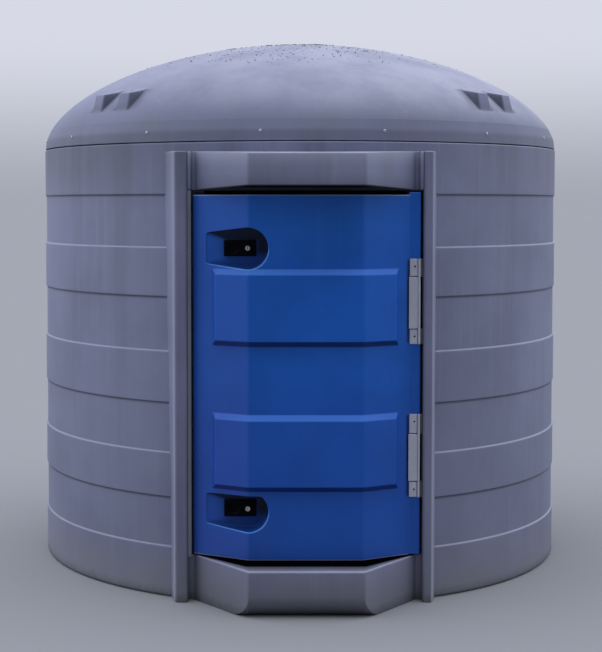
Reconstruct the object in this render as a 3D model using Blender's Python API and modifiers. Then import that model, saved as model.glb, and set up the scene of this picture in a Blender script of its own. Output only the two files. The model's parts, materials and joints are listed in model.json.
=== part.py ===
"""Double-walled diesel tank: a round moulded outer tank with a domed roof, an inner tank, and a service
cabinet behind a hinged three-facet door.

Metres, +Z up. The origin is on the tank's axis at ground level. The door faces -Y.
"""
import math

import bmesh
import bpy
from mathutils import Matrix, Vector

SEAT_GAP = 0.0003
CUT_CLEAR = 0.100
SHARP_DEG = 22

# Outer tank
TANK_RADIUS = 1.200
WALL_THICKNESS = 0.012
WALL_TOP = 1.854
WALL_TOP_BEVEL = 0.005
BAND_RECESS = 0.005
BAND_SLOPE = 0.006
BAND_EDGES = (1.648, 1.434, 1.233, 1.012, 0.801, 0.597, 0.413, 0.210)
FOOT_ROUNDING = 0.014
FLOOR_THICKNESS = 0.012
FLOOR_CLEARANCE = 0.0023
WALL_PIECES = 11
STEPS_PER_WALL = 6
WALL_START_DEG = 24.0

# Roof
ROOF_BOTTOM = 1.861
ROOF_APEX = 2.357
ROOF_SPAN = 1.2016
ROOF_PLAN_POWER = 1.895
ROOF_RISE_POWER = 1.795
SKIRT_RADIUS = 1.198
SKIRT_MIDDLE = (1.193, 1.904)
SKIRT_SEAT_INSET = 0.008
CREASE_HEIGHT = 1.948
ROOF_THICKNESS = 0.012
ROOF_STEPS = 64
DOME_STEPS = 11

# Lifting lugs moulded into the roof's shoulder, in pairs, by their near side's bearing from the front
LUG_BEARINGS_DEG = (40.7, 49.5)
LUG_WIDTH = 0.075
LUG_TOP_OUTER = (1.115, 2.077)
LUG_TOP_INNER = (1.022, 2.095)
LUG_FOOT = (1.139, 1.994)
LUG_ROOT_DEPTH = 0.006
LUG_ROOT_REACH = 0.010

# Doorway posts, lintel and threshold
POST_INNER = 0.4735
POST_OUTER = 0.537
POST_FRONT = -1.150
POST_BACK = -1.020
POST_TOP = 1.820
POST_ROUNDING = 0.027
POST_INNER_BEVEL = 0.004
LINTEL_HALF_FLAT = 0.228
LINTEL_FRONT = -1.375
LINTEL_END = (0.443, -1.118)
LINTEL_LOW = 1.664
LINTEL_LOW_FRONT = 1.680
LINTEL_TOP_FRONT = 1.806
RETURN_DRAFT = 0.001
STRIP_INNER = 0.4585
STRIP_FRONT = -1.143
WALL_OVER_DOOR_SWEEP_DEG = 56.0
WALL_OVER_DOOR_STEPS = 12
WALL_OVER_DOOR_LOW = 1.700
THRESHOLD_HALF_FLAT = 0.227
THRESHOLD_FRONT = -1.390
THRESHOLD_END = (0.450, -1.105)
THRESHOLD_TOP = 0.185
TOE_RADIUS = 0.090
TOE_LEAD = 0.001
TOE_STEPS = 6
GUTTER_HALF_FLAT = 0.236
GUTTER_FRONT = -1.300
GUTTER_END = (0.425, -1.118)
GUTTER_BACK = -1.062
GUTTER_FLOOR = 0.115

# Cabinet: its left side runs forward as the door's jamb, and the hinges take that place on the right
PANEL_THICKNESS = 0.012
CABINET_SIDE_THICKNESS = 0.015
CABINET_BACK = -0.620
CABINET_CEILING = 1.664
STOP_INNER = 0.411
STOP_FRONT = -1.058
STOP_THICKNESS = 0.012

# Inner tank, flat in front, with an open neck in its top under the roof
INNER_RADIUS = 1.100
INNER_TOP = 1.800
INNER_THICKNESS = 0.010
INNER_WALL_PIECES = 5
STEPS_PER_INNER_WALL = 8
NECK_Y = 0.700
NECK_RADIUS = 0.165
NECK_TOP = 1.920
NECK_SIDES = 24

# Door
DOOR_HALF_WIDTH = 0.447
DOOR_LEFT_EDGE = -0.452
DOOR_LEFT_BACK = -0.446
DOOR_HALF_FLAT = 0.230
DOOR_FRONT = -1.240
DOOR_EDGE_FRONT = -1.120
FACET_SLOPE = math.atan2(DOOR_EDGE_FRONT - DOOR_FRONT, DOOR_HALF_WIDTH - DOOR_HALF_FLAT)
DOOR_BACK = -1.065
DOOR_LOW = 0.192
DOOR_TOP = 1.646
FLANGE_INNER = 0.416
FLANGE_OUTER = 0.462
FLANGE_FRONT = -1.137
FLANGE_TOP = 1.656
FLANGE_INSET = 0.002
RAISED_PANELS = ((1.042, 1.354), (0.466, 0.777))
RAISED_HALF_WIDTH = 0.374
RAISED_DEPTH = 0.028
RAISED_SLOPE = 0.021
RAISED_ROOT = 0.003

# Latch recesses in the door
RECESS_CENTRES = {"upper": 1.433, "lower": 0.387}
RECESS_X = -0.231
RECESS_RADIUS = 0.082
RECESS_FLOOR = -1.147
RECESS_TAPER_DEG = 7.2
RECESS_LEFT = -0.430
RECESS_TOPS = {"upper": 1.600, "lower": 0.4484}
RECESS_ARC_STEPS = 14
LATCH_CENTRE_X = -0.2615
LATCH_SIZE = (0.129, 0.026, 0.064)
CYLINDER_RADIUS = 0.010
CYLINDER_LENGTH = 0.004

# Hinges, in front of the door's flange: the door leaf's middle stretch lies between its own ends
HINGES = {"upper": (1.047, 1.109, 1.317, 1.390), "lower": (0.428, 0.493, 0.684, 0.765)}
HINGE_AXIS = (0.456, -1.143)
KNUCKLE_RADIUS = 0.0052
KNUCKLE_GAP = 0.0005
KNUCKLE_SIDES = 20
LEAF_THICKNESS = 0.004
LEAF_INNER = 0.418
LEAF_MIDDLE_INNER = 0.4155
LEAF_MIDDLE_EXTRA = 0.003
LEAF_TO_KNUCKLE = 0.0010
FRAME_LEAF_THICKNESS = 0.003
FRAME_LEAF_FRONT = -1.1482
FRAME_LEAF_BACK = -1.088
TAB_THICKNESS = 0.003

COLOURS = {
    "moulded_grey": ((0.130, 0.142, 0.215), 0.55, 0.0),
    "door_blue": ((0.010, 0.055, 0.270), 0.45, 0.0),
    "inner_wall_grey": ((0.160, 0.165, 0.190), 0.60, 0.0),
    "hinge_steel": ((0.300, 0.305, 0.330), 0.40, 0.9),
    "latch_black": ((0.006, 0.006, 0.007), 0.35, 0.0),
    "lock_chrome": ((0.520, 0.520, 0.530), 0.25, 1.0),
}


def clear_scene():
    """Removes every object that the file starts with."""
    for obj in list(bpy.data.objects):
        bpy.data.objects.remove(obj, do_unlink=True)


def make_collection(name):
    collection = bpy.data.collections.new(name)
    bpy.context.scene.collection.children.link(collection)
    return collection


def finish(obj, name, slot, parent=None):
    """Names a piece, shades it, gives it a material of its own and puts it in the tank's collection."""
    colour, roughness, metallic = COLOURS[slot]
    material = bpy.data.materials.new(name + "_" + slot)
    material.use_nodes = True
    shader = material.node_tree.nodes["Principled BSDF"]
    shader.inputs["Base Color"].default_value = (*colour, 1.0)
    shader.inputs["Roughness"].default_value = roughness
    shader.inputs["Metallic"].default_value = metallic
    obj.name = name
    obj.data.name = name
    obj.data.materials.clear()
    obj.data.materials.append(material)
    obj.data.shade_smooth()
    obj.data.set_sharp_from_angle(angle=math.radians(SHARP_DEG))
    TANK.objects.link(obj)
    if parent:
        obj.parent = parent
        obj.matrix_parent_inverse = parent.matrix_world.inverted()
    return obj


def object_of(name, bm):
    """Turns a bmesh into an object that is in no collection yet."""
    mesh = bpy.data.meshes.new(name)
    bmesh.ops.recalc_face_normals(bm, faces=bm.faces)
    bm.to_mesh(mesh)
    bm.free()
    return bpy.data.objects.new(name, mesh)


def box(low, high):
    """A box between two opposite corners."""
    bm = bmesh.new()
    size = [high[i] - low[i] for i in range(3)]
    middle = [(high[i] + low[i]) / 2 for i in range(3)]
    place = Matrix.Translation(middle) @ Matrix.Diagonal((*size, 1.0))
    bmesh.ops.create_cube(bm, size=1.0, matrix=place)
    return object_of("box", bm)


def upright_cylinder(radius, x, y, low, high, sides, top_radius=None):
    """A cylinder or cone on a vertical axis."""
    bm = bmesh.new()
    place = Matrix.Translation((x, y, (low + high) / 2))
    bmesh.ops.create_cone(bm, cap_ends=True, segments=sides, radius1=radius, depth=high - low,
                          radius2=radius if top_radius is None else top_radius, matrix=place)
    return object_of("cylinder", bm)


def slab(outline, low, high, upright=False):
    """A flat outline given a thickness along Z, or standing up with its thickness along -Y."""
    curve = bpy.data.curves.new("outline", "CURVE")
    curve.dimensions = "2D"
    curve.fill_mode = "BOTH"
    curve.extrude = (high - low) / 2
    spline = curve.splines.new("POLY")
    spline.points.add(len(outline) - 1)
    for point, (x, y) in zip(spline.points, outline):
        point.co = (x, y, 0.0, 1.0)
    spline.use_cyclic_u = True
    guide = bpy.data.objects.new("outline", curve)
    CUTTERS.objects.link(guide)
    bpy.context.view_layer.update()
    mesh = bpy.data.meshes.new_from_object(guide.evaluated_get(bpy.context.evaluated_depsgraph_get()))
    bpy.data.objects.remove(guide, do_unlink=True)
    bm = bmesh.new()
    bm.from_mesh(mesh)
    bmesh.ops.remove_doubles(bm, verts=bm.verts, dist=0.00001)
    turn = Matrix.Rotation(math.radians(90), 4, "X") if upright else Matrix.Identity(4)
    bm.transform(turn @ Matrix.Translation((0, 0, (high + low) / 2)))
    return object_of("slab", bm)


def reshape(obj, rule):
    """Moves each corner of an object's mesh to where the rule sends it."""
    for vertex in obj.data.vertices:
        vertex.co = rule(vertex.co)
    return obj


def combine(obj, other, operation):
    """Cuts, joins or keeps what is common with another shape, which becomes a guide."""
    if other.name not in CUTTERS.objects:
        CUTTERS.objects.link(other)
    other.hide_render = True
    other.display_type = "WIRE"
    modifier = obj.modifiers.new(operation.lower(), "BOOLEAN")
    modifier.operation = operation
    modifier.solver = "EXACT"
    modifier.object = other
    return obj


def spun(section, start_deg, sweep_deg, steps):
    """A closed section of (radius, height) points swept round the tank's axis, its bearing from the front."""
    bm = bmesh.new()
    corners = [bm.verts.new((r, 0.0, z)) for r, z in section]
    bm.faces.new(corners)
    turn = Matrix.Rotation(math.radians(start_deg - 90), 3, "Z")
    bmesh.ops.rotate(bm, verts=bm.verts, cent=(0, 0, 0), matrix=turn)
    bmesh.ops.spin(bm, geom=bm.verts[:] + bm.edges[:] + bm.faces[:], cent=(0, 0, 0), axis=(0, 0, 1),
                   angle=math.radians(sweep_deg), steps=steps, use_duplicate=False)
    return object_of("spun", bm)


def turned(profile, steps):
    """An outer profile at +X, top to bottom, turned all the way round the tank's axis."""
    bm = bmesh.new()
    points = [bm.verts.new((r, 0.0, z)) for r, z in profile]
    for first, second in zip(points, points[1:]):
        bm.edges.new((first, second))
    mesh = bpy.data.meshes.new("turned")
    bm.to_mesh(mesh)
    bm.free()
    obj = bpy.data.objects.new("turned", mesh)
    screw = obj.modifiers.new("turn", "SCREW")
    screw.angle = math.radians(360)
    screw.steps = steps
    screw.render_steps = steps
    screw.use_merge_vertices = True
    screw.merge_threshold = 0.00001
    return obj


def on_circle(radius, x):
    """The Y of the front of a circle round the tank's axis, at this X."""
    return -math.sqrt(radius * radius - x * x)


def wall_section():
    """The banded outer wall's section: proud and recessed bands outside, plain inside."""
    inner = TANK_RADIUS - BAND_RECESS - WALL_THICKNESS
    recessed = TANK_RADIUS - BAND_RECESS
    points = [(TANK_RADIUS - WALL_TOP_BEVEL, WALL_TOP), (TANK_RADIUS, WALL_TOP - WALL_TOP_BEVEL)]
    proud = True
    for edge in BAND_EDGES:
        above, below = (TANK_RADIUS, recessed) if proud else (recessed, TANK_RADIUS)
        points += [(above, edge + BAND_SLOPE / 2), (below, edge - BAND_SLOPE / 2)]
        proud = not proud
    for step in range(4):
        turn = math.radians(30 * step)
        inward = FOOT_ROUNDING * (1 - math.cos(turn))
        points.append((TANK_RADIUS - inward, FOOT_ROUNDING * (1 - math.sin(turn))))
    return points + [(inner, 0.0), (inner, WALL_TOP)]


def make_walls():
    """The outer wall in segments, its first and last cut beside the doorway."""
    section = wall_section()
    pitch = (360 - 2 * WALL_START_DEG) / WALL_PIECES
    gap_deg = math.degrees(SEAT_GAP / TANK_RADIUS)
    side = POST_OUTER + SEAT_GAP
    doorway = box((-side, -TANK_RADIUS - CUT_CLEAR, -CUT_CLEAR), (side, 0.0, WALL_TOP + CUT_CLEAR))
    for number in range(WALL_PIECES):
        wall = spun(section, WALL_START_DEG + number * pitch, pitch - gap_deg, STEPS_PER_WALL)
        if number in (0, WALL_PIECES - 1):
            combine(wall, doorway, "DIFFERENCE")
        finish(wall, f"outer_wall_{number + 1:02d}", "moulded_grey")


def make_wall_over_door():
    """The wall between the posts over the cabinet, with narrow shoulders over the posts."""
    inner = TANK_RADIUS - BAND_RECESS - WALL_THICKNESS
    section = [(TANK_RADIUS - WALL_TOP_BEVEL, WALL_TOP), (TANK_RADIUS, WALL_TOP - WALL_TOP_BEVEL)]
    section += [(TANK_RADIUS, WALL_OVER_DOOR_LOW), (inner, WALL_OVER_DOOR_LOW), (inner, WALL_TOP)]
    sweep = WALL_OVER_DOOR_SWEEP_DEG
    wall = spun(section, -sweep / 2, sweep, WALL_OVER_DOOR_STEPS)
    front, low, high = -TANK_RADIUS - CUT_CLEAR, WALL_OVER_DOOR_LOW - CUT_CLEAR, WALL_TOP + CUT_CLEAR
    combine(wall, box((-POST_OUTER, front, low), (POST_OUTER, 0.0, high)), "INTERSECT")
    for side in (-1, 1):
        near, far = sorted((side * (POST_INNER - SEAT_GAP), side * (POST_OUTER + CUT_CLEAR)))
        combine(wall, box((near, front, low), (far, 0.0, POST_TOP + SEAT_GAP)), "DIFFERENCE")
    finish(wall, "wall_over_door", "moulded_grey")


def make_floor():
    """The outer tank's bottom, a disc cut back behind the doorway."""
    radius = TANK_RADIUS - BAND_RECESS - WALL_THICKNESS - FLOOR_CLEARANCE
    floor = upright_cylinder(radius, 0, 0, 0.0, FLOOR_THICKNESS, ROOF_STEPS)
    side = POST_OUTER + SEAT_GAP
    doorway = box((-side, -TANK_RADIUS - CUT_CLEAR, -CUT_CLEAR), (side, POST_BACK + SEAT_GAP, CUT_CLEAR))
    combine(floor, doorway, "DIFFERENCE")
    finish(floor, "bund_floor", "inner_wall_grey")


def dome_point(turn, thickness=0.0):
    """A point of the dome's section, from 0 at its rim to a quarter turn at the apex."""
    radius = (ROOF_SPAN - thickness) * max(math.cos(turn), 0.0) ** (2 / ROOF_PLAN_POWER)
    height = ROOF_BOTTOM + (ROOF_APEX - thickness - ROOF_BOTTOM) * math.sin(turn) ** (2 / ROOF_RISE_POWER)
    return radius, height


def dome_height(radius, thickness=0.0):
    """The dome's height at this distance from the axis."""
    turn = math.acos((radius / (ROOF_SPAN - thickness)) ** (ROOF_PLAN_POWER / 2))
    return dome_point(turn, thickness)[1]


def dome_section(thickness=0.0):
    """The dome's section from the apex down to the crease over the skirt."""
    rise = (CREASE_HEIGHT - ROOF_BOTTOM) / (ROOF_APEX - thickness - ROOF_BOTTOM)
    low_turn = math.asin(rise ** (ROOF_RISE_POWER / 2))
    turns = [math.pi / 2 + (low_turn - math.pi / 2) * step / DOME_STEPS for step in range(DOME_STEPS + 1)]
    points = [dome_point(turn, thickness) for turn in turns]
    points[0] = (0.0, ROOF_APEX - thickness)
    return points


def make_lug(bearing_deg):
    """One lifting lug: a wedge with a near-level top and a steep face, rooted in the roof."""
    root = []
    inner, outer = LUG_TOP_INNER[0] - LUG_ROOT_REACH, LUG_FOOT[0] - LUG_ROOT_REACH / 2
    for radius in (inner, (inner + outer) / 2, outer):
        half = LUG_ROOT_REACH / 2
        slope = Vector((2 * half, dome_height(radius + half) - dome_height(radius - half))).normalized()
        inward = Vector((slope.y, -slope.x)) * LUG_ROOT_DEPTH
        root.append((radius + inward.x, dome_height(radius) + inward.y))
    section = [LUG_TOP_INNER, LUG_TOP_OUTER, LUG_FOOT] + root[::-1]
    lug = slab(section, -LUG_WIDTH / 2, LUG_WIDTH / 2, upright=True)
    lug.data.transform(Matrix.Rotation(math.radians(bearing_deg - 90), 4, "Z"))
    return lug


def make_roof():
    """The domed roof: skirt, crease and dome, with its lifting lugs."""
    inner_skirt = SKIRT_RADIUS - ROOF_THICKNESS
    inner_dome = dome_section(ROOF_THICKNESS)
    seat = WALL_TOP + SEAT_GAP
    outer_seat = (SKIRT_RADIUS - SKIRT_SEAT_INSET, seat)
    inner_seat = (inner_skirt - SKIRT_SEAT_INSET / 2, seat)
    profile = dome_section() + [SKIRT_MIDDLE, (SKIRT_RADIUS, ROOF_BOTTOM), outer_seat, inner_seat]
    profile += [(inner_seat[0], ROOF_BOTTOM)] + inner_dome[::-1]
    roof = turned(profile, ROOF_STEPS)
    half_width_deg = math.degrees(LUG_WIDTH / 2 / LUG_FOOT[0])
    for near_side in LUG_BEARINGS_DEG:
        middle = near_side + half_width_deg
        for bearing in (middle, -middle, 180 - middle, 180 + middle):
            combine(roof, make_lug(bearing), "UNION")
    finish(roof, "roof_dome", "moulded_grey")


def make_posts():
    """The two posts beside the doorway, rounded on their outer front edge."""
    for side, name in ((-1, "left"), (1, "right")):
        middle = Vector((POST_OUTER - POST_ROUNDING, POST_FRONT + POST_ROUNDING))
        outline = [(POST_INNER, POST_FRONT + POST_INNER_BEVEL), (POST_INNER + POST_INNER_BEVEL, POST_FRONT)]
        for step in range(7):
            turn = math.radians(-90 + 15 * step)
            outline.append(middle + POST_ROUNDING * Vector((math.cos(turn), math.sin(turn))))
        outline += [(POST_OUTER, POST_BACK), (POST_INNER, POST_BACK)]
        post = slab([(side * x, y) for x, y in outline], 0.0, POST_TOP)
        finish(post, f"doorway_post_{name}", "moulded_grey")


def make_lintel():
    """The three-facet lintel between two narrow strips, its top falling forward and its low edge rising
    along the side facets."""
    wall_face = TANK_RADIUS + SEAT_GAP
    half_width = POST_INNER - SEAT_GAP
    strip = [(half_width, STRIP_FRONT), (STRIP_INNER, STRIP_FRONT)]
    groove = (STRIP_INNER - RETURN_DRAFT, LINTEL_END[1] + RETURN_DRAFT)
    front = strip + [groove, LINTEL_END, (LINTEL_HALF_FLAT, LINTEL_FRONT)]
    outline = front + [(-x, y) for x, y in reversed(front)]
    half_facet = math.radians(WALL_OVER_DOOR_SWEEP_DEG / WALL_OVER_DOOR_STEPS / 2)
    for step in range(WALL_OVER_DOOR_STEPS + 1):
        x = -half_width + 2 * half_width * step / WALL_OVER_DOOR_STEPS
        outline.append((x, on_circle(wall_face, x) / math.cos(half_facet)))
    lintel = slab(outline, LINTEL_LOW, POST_TOP)

    def tilt(point):
        if point.z > (LINTEL_LOW + POST_TOP) / 2:
            share = max(0.0, (LINTEL_END[1] - point.y) / (LINTEL_END[1] - LINTEL_FRONT))
            return Vector((point.x, point.y, POST_TOP + share * (LINTEL_TOP_FRONT - POST_TOP)))
        share = (LINTEL_END[0] - abs(point.x)) / (LINTEL_END[0] - LINTEL_HALF_FLAT)
        share = min(max(share, 0.0), 1.0)
        return Vector((point.x, point.y, LINTEL_LOW + share * (LINTEL_LOW_FRONT - LINTEL_LOW)))

    finish(reshape(lintel, tilt), "lintel", "moulded_grey")


def make_threshold():
    """The three-facet threshold block, its front rounded under, with a gutter behind its lip."""
    half_width = POST_INNER - SEAT_GAP
    ends = [(half_width, POST_BACK), (half_width, THRESHOLD_END[1] + RETURN_DRAFT), THRESHOLD_END]
    front = ends + [(THRESHOLD_HALF_FLAT, THRESHOLD_FRONT)]
    threshold = slab(front + [(-x, y) for x, y in reversed(front)], 0.0, THRESHOLD_TOP)
    middle = Vector((THRESHOLD_FRONT + TOE_RADIUS - TOE_LEAD, TOE_RADIUS - TOE_LEAD))
    clear = TOE_RADIUS / 3
    outline = [(THRESHOLD_FRONT - clear, middle.y)]
    for step in range(TOE_STEPS + 1):
        turn = math.radians(90 * step / TOE_STEPS)
        outline.append(middle - TOE_RADIUS * Vector((math.cos(turn), math.sin(turn))))
    outline += [(middle.x, -clear), (THRESHOLD_FRONT - clear, -clear)]
    toe = slab(outline, -half_width, half_width, upright=True)
    toe.data.transform(Matrix.Rotation(math.radians(90), 4, "Z"))
    combine(threshold, toe, "DIFFERENCE")
    side = [(GUTTER_END[0], GUTTER_BACK), GUTTER_END, (GUTTER_HALF_FLAT, GUTTER_FRONT)]
    gutter = slab(side + [(-x, y) for x, y in reversed(side)], GUTTER_FLOOR, THRESHOLD_TOP + CUT_CLEAR)
    finish(combine(threshold, gutter, "DIFFERENCE"), "threshold", "moulded_grey")


def make_cabinet():
    """The service cabinet's sides, stops, ceiling and floor, between the doorway and the inner tank."""
    outer = POST_INNER - SEAT_GAP
    inner = outer - CABINET_SIDE_THICKNESS
    back = CABINET_BACK - SEAT_GAP
    low = THRESHOLD_TOP + SEAT_GAP
    high = CABINET_CEILING - SEAT_GAP
    for side, name, front in ((-1, "left", STRIP_FRONT), (1, "right", STOP_FRONT)):
        near, far = sorted((side * inner, side * outer))
        wall = box((near, front, low), (far, back, high))
        finish(wall, f"cabinet_side_{name}", "inner_wall_grey")
        near, far = sorted((side * STOP_INNER, side * (inner - SEAT_GAP)))
        stop = box((near, STOP_FRONT, low), (far, STOP_FRONT + STOP_THICKNESS, high))
        finish(stop, f"door_stop_{name}", "moulded_grey")
    ceiling = box((-outer, STOP_FRONT, CABINET_CEILING), (outer, back, CABINET_CEILING + PANEL_THICKNESS))
    finish(ceiling, "cabinet_ceiling", "inner_wall_grey")
    floor = box((-outer, POST_BACK + SEAT_GAP, THRESHOLD_TOP - PANEL_THICKNESS), (outer, back, THRESHOLD_TOP))
    finish(floor, "cabinet_floor", "inner_wall_grey")


def inner_tank_outline():
    """The inner tank in plan: a circle round the axis with its front cut straight across."""
    half_turn = math.acos(-CABINET_BACK / INNER_RADIUS)
    steps = INNER_WALL_PIECES * STEPS_PER_INNER_WALL
    points = []
    for step in range(steps + 1):
        bearing = half_turn + (2 * math.pi - 2 * half_turn) * step / steps
        points.append((INNER_RADIUS * math.sin(bearing), -INNER_RADIUS * math.cos(bearing)))
    return points


def make_inner_tank():
    """The inner tank: floor, flat front, a round wall in segments, and a top with an open neck."""
    low = FLOOR_THICKNESS + SEAT_GAP
    floor = slab(inner_tank_outline(), low, low + INNER_THICKNESS)
    finish(floor, "inner_tank_floor", "inner_wall_grey")
    top = slab(inner_tank_outline(), INNER_TOP - INNER_THICKNESS, INNER_TOP)
    bore = NECK_RADIUS - INNER_THICKNESS
    combine(top, upright_cylinder(bore, 0, NECK_Y, low, NECK_TOP, NECK_SIDES), "DIFFERENCE")
    finish(top, "inner_tank_top", "inner_wall_grey")
    neck = upright_cylinder(NECK_RADIUS, 0, NECK_Y, INNER_TOP + SEAT_GAP, NECK_TOP, NECK_SIDES)
    combine(neck, upright_cylinder(bore, 0, NECK_Y, low, 2 * NECK_TOP, NECK_SIDES), "DIFFERENCE")
    finish(neck, "inner_tank_neck", "inner_wall_grey")

    wall_low = low + INNER_THICKNESS + SEAT_GAP
    wall_high = INNER_TOP - INNER_THICKNESS - SEAT_GAP
    inner = INNER_RADIUS - INNER_THICKNESS
    section = [(INNER_RADIUS, wall_high), (INNER_RADIUS, wall_low), (inner, wall_low), (inner, wall_high)]
    start = math.degrees(math.acos(-CABINET_BACK / INNER_RADIUS))
    pitch = (360 - 2 * start) / INNER_WALL_PIECES
    gap_deg = math.degrees(SEAT_GAP / INNER_RADIUS)
    for number in range(INNER_WALL_PIECES):
        wall = spun(section, start + number * pitch, pitch - gap_deg, STEPS_PER_INNER_WALL)
        finish(wall, f"inner_tank_wall_{number + 1}", "inner_wall_grey")
    left = on_circle(inner, CABINET_BACK) + SEAT_GAP
    front = box((left, CABINET_BACK, wall_low), (-left, CABINET_BACK + INNER_THICKNESS, wall_high))
    finish(front, "inner_tank_front", "inner_wall_grey")


def door_face(offset, left, right):
    """The door's faceted face in plan, moved out by the offset, from its left to its right end."""
    corner = DOOR_HALF_FLAT + offset * math.tan(FACET_SLOPE / 2)
    front = DOOR_FRONT - offset
    ends = [(x, front + (abs(x) - corner) * math.tan(FACET_SLOPE)) for x in (left, right)]
    return [ends[0], (-corner, front), (corner, front), ends[1]]


def raised_panel(low, high):
    """A band that stands proud of the door's facets, with sloped top, bottom and ends."""
    root = door_face(-RAISED_ROOT, -RAISED_HALF_WIDTH, RAISED_HALF_WIDTH)
    front = door_face(RAISED_DEPTH, -RAISED_HALF_WIDTH, RAISED_HALF_WIDTH)
    panel = slab(root + front[::-1], low, high)
    middle = (low + high) / 2
    proud = [Vector(point) for point in front]

    def slope(point):
        if min((point.xy - corner).length for corner in proud) > 0.001:
            return point
        x = point.x
        if abs(x) > RAISED_HALF_WIDTH - 0.001:
            x -= math.copysign(RAISED_SLOPE / 2, x)
        y = point.y - (abs(point.x) - abs(x)) * math.tan(FACET_SLOPE)
        return Vector((x, y, point.z + (RAISED_SLOPE if point.z < middle else -RAISED_SLOPE)))

    return reshape(panel, slope)


def recess_cutter(name):
    """A latch recess: a tapered D with a round right end, cut straight back to a flat floor."""
    centre = RECESS_CENTRES[name]
    arc_end = 90 + RECESS_TAPER_DEG
    outline = []
    for step in range(RECESS_ARC_STEPS + 1):
        turn = math.radians(-arc_end + 2 * arc_end * step / RECESS_ARC_STEPS)
        outline.append((RECESS_X + RECESS_RADIUS * math.cos(turn), RECESS_RADIUS * math.sin(turn)))
    fall = (outline[-1][0] - RECESS_LEFT) * math.tan(math.radians(RECESS_TAPER_DEG))
    outline.append((RECESS_LEFT, outline[-1][1] - fall))
    outline.append((RECESS_LEFT, outline[0][1] + fall))
    top = RECESS_TOPS[name]
    return slab([(x, min(centre + z, top)) for x, z in outline], -RECESS_FLOOR, 1.45, upright=True)


def make_door(pivot):
    """The door: a closed moulding with a faceted face, raised bands, two recesses and a hinge flange."""
    face = door_face(0.0, DOOR_LEFT_EDGE, DOOR_HALF_WIDTH)
    door = slab(face + [(DOOR_HALF_WIDTH, DOOR_BACK), (DOOR_LEFT_BACK, DOOR_BACK)], DOOR_LOW, DOOR_TOP)
    flange = box((FLANGE_INNER, FLANGE_FRONT, DOOR_LOW + FLANGE_INSET),
                 (FLANGE_OUTER, DOOR_BACK - FLANGE_INSET, FLANGE_TOP))
    combine(door, flange, "UNION")
    for low, high in RAISED_PANELS:
        combine(door, raised_panel(low, high), "UNION")
    for name in RECESS_CENTRES:
        combine(door, recess_cutter(name), "DIFFERENCE")
    finish(door, "door", "door_blue", pivot)


def make_latches(pivot):
    """The two latch blocks on the recess floors, each with a lock cylinder."""
    length, depth, height = LATCH_SIZE
    back = RECESS_FLOOR - SEAT_GAP
    for name, centre in RECESS_CENTRES.items():
        low = (LATCH_CENTRE_X - length / 2, back - depth, centre - height / 2)
        high = (LATCH_CENTRE_X + length / 2, back, centre + height / 2)
        finish(box(low, high), f"latch_{name}", "latch_black", pivot)
        lock = upright_cylinder(CYLINDER_RADIUS, 0, 0, 0, CYLINDER_LENGTH, 20)
        lock.data.transform(Matrix.Translation((RECESS_X, low[1] - SEAT_GAP, centre)) @
                            Matrix.Rotation(math.radians(90), 4, "X"))
        finish(lock, f"lock_cylinder_{name}", "lock_chrome", pivot)


def make_hinges(pivot):
    """Two hinges: a leaf on the front of the door's flange, a leaf on the post's inner side."""
    x, y = HINGE_AXIS
    flange = FLANGE_FRONT - SEAT_GAP
    clear = x - KNUCKLE_RADIUS - LEAF_TO_KNUCKLE
    post = POST_INNER - SEAT_GAP
    overlap = LEAF_TO_KNUCKLE / 2
    for name, (low, middle_low, middle_high, high) in HINGES.items():
        leaf = box((LEAF_INNER, flange - LEAF_THICKNESS, low), (clear, flange, high))
        barrel_low = middle_low + KNUCKLE_GAP
        barrel_high = middle_high - KNUCKLE_GAP
        front = flange - LEAF_THICKNESS - LEAF_MIDDLE_EXTRA
        pad = box((LEAF_MIDDLE_INNER, front, barrel_low), (clear - overlap, flange - overlap, barrel_high))
        combine(leaf, pad, "UNION")
        web = box((clear - LEAF_THICKNESS, y - LEAF_THICKNESS / 4, barrel_low + overlap),
                  (x, y + LEAF_THICKNESS / 2, barrel_high - overlap))
        combine(leaf, web, "UNION")
        combine(leaf, upright_cylinder(KNUCKLE_RADIUS, x, y, barrel_low, barrel_high, KNUCKLE_SIDES), "UNION")
        finish(leaf, f"hinge_{name}_door_leaf", "hinge_steel", pivot)

        frame_leaf = box((post - FRAME_LEAF_THICKNESS, FRAME_LEAF_FRONT, low), (post, FRAME_LEAF_BACK, high))
        for end_low, end_high in ((low, middle_low), (middle_high, high)):
            tab_front = y - KNUCKLE_RADIUS + overlap
            tab = box((x, tab_front, end_low + overlap),
                      (post - overlap, tab_front + TAB_THICKNESS, end_high - overlap))
            combine(frame_leaf, tab, "UNION")
            knuckle = upright_cylinder(KNUCKLE_RADIUS, x, y, end_low, end_high, KNUCKLE_SIDES)
            combine(frame_leaf, knuckle, "UNION")
        finish(frame_leaf, f"hinge_{name}_frame_leaf", "hinge_steel")


clear_scene()
TANK = make_collection("double_walled_diesel_tank")
CUTTERS = make_collection("cutters")

door_pivot = bpy.data.objects.new("door_pivot", None)
door_pivot.location = (*HINGE_AXIS, DOOR_LOW)
TANK.objects.link(door_pivot)
bpy.context.view_layer.update()

make_floor()
make_walls()
make_wall_over_door()
make_roof()
make_posts()
make_lintel()
make_threshold()
make_cabinet()
make_inner_tank()
make_door(door_pivot)
make_latches(door_pivot)
make_hinges(door_pivot)
bpy.context.view_layer.update()
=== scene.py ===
"""Finished surfaces, materials and studio light for the round double-walled diesel tank."""

import json
import math

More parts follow.
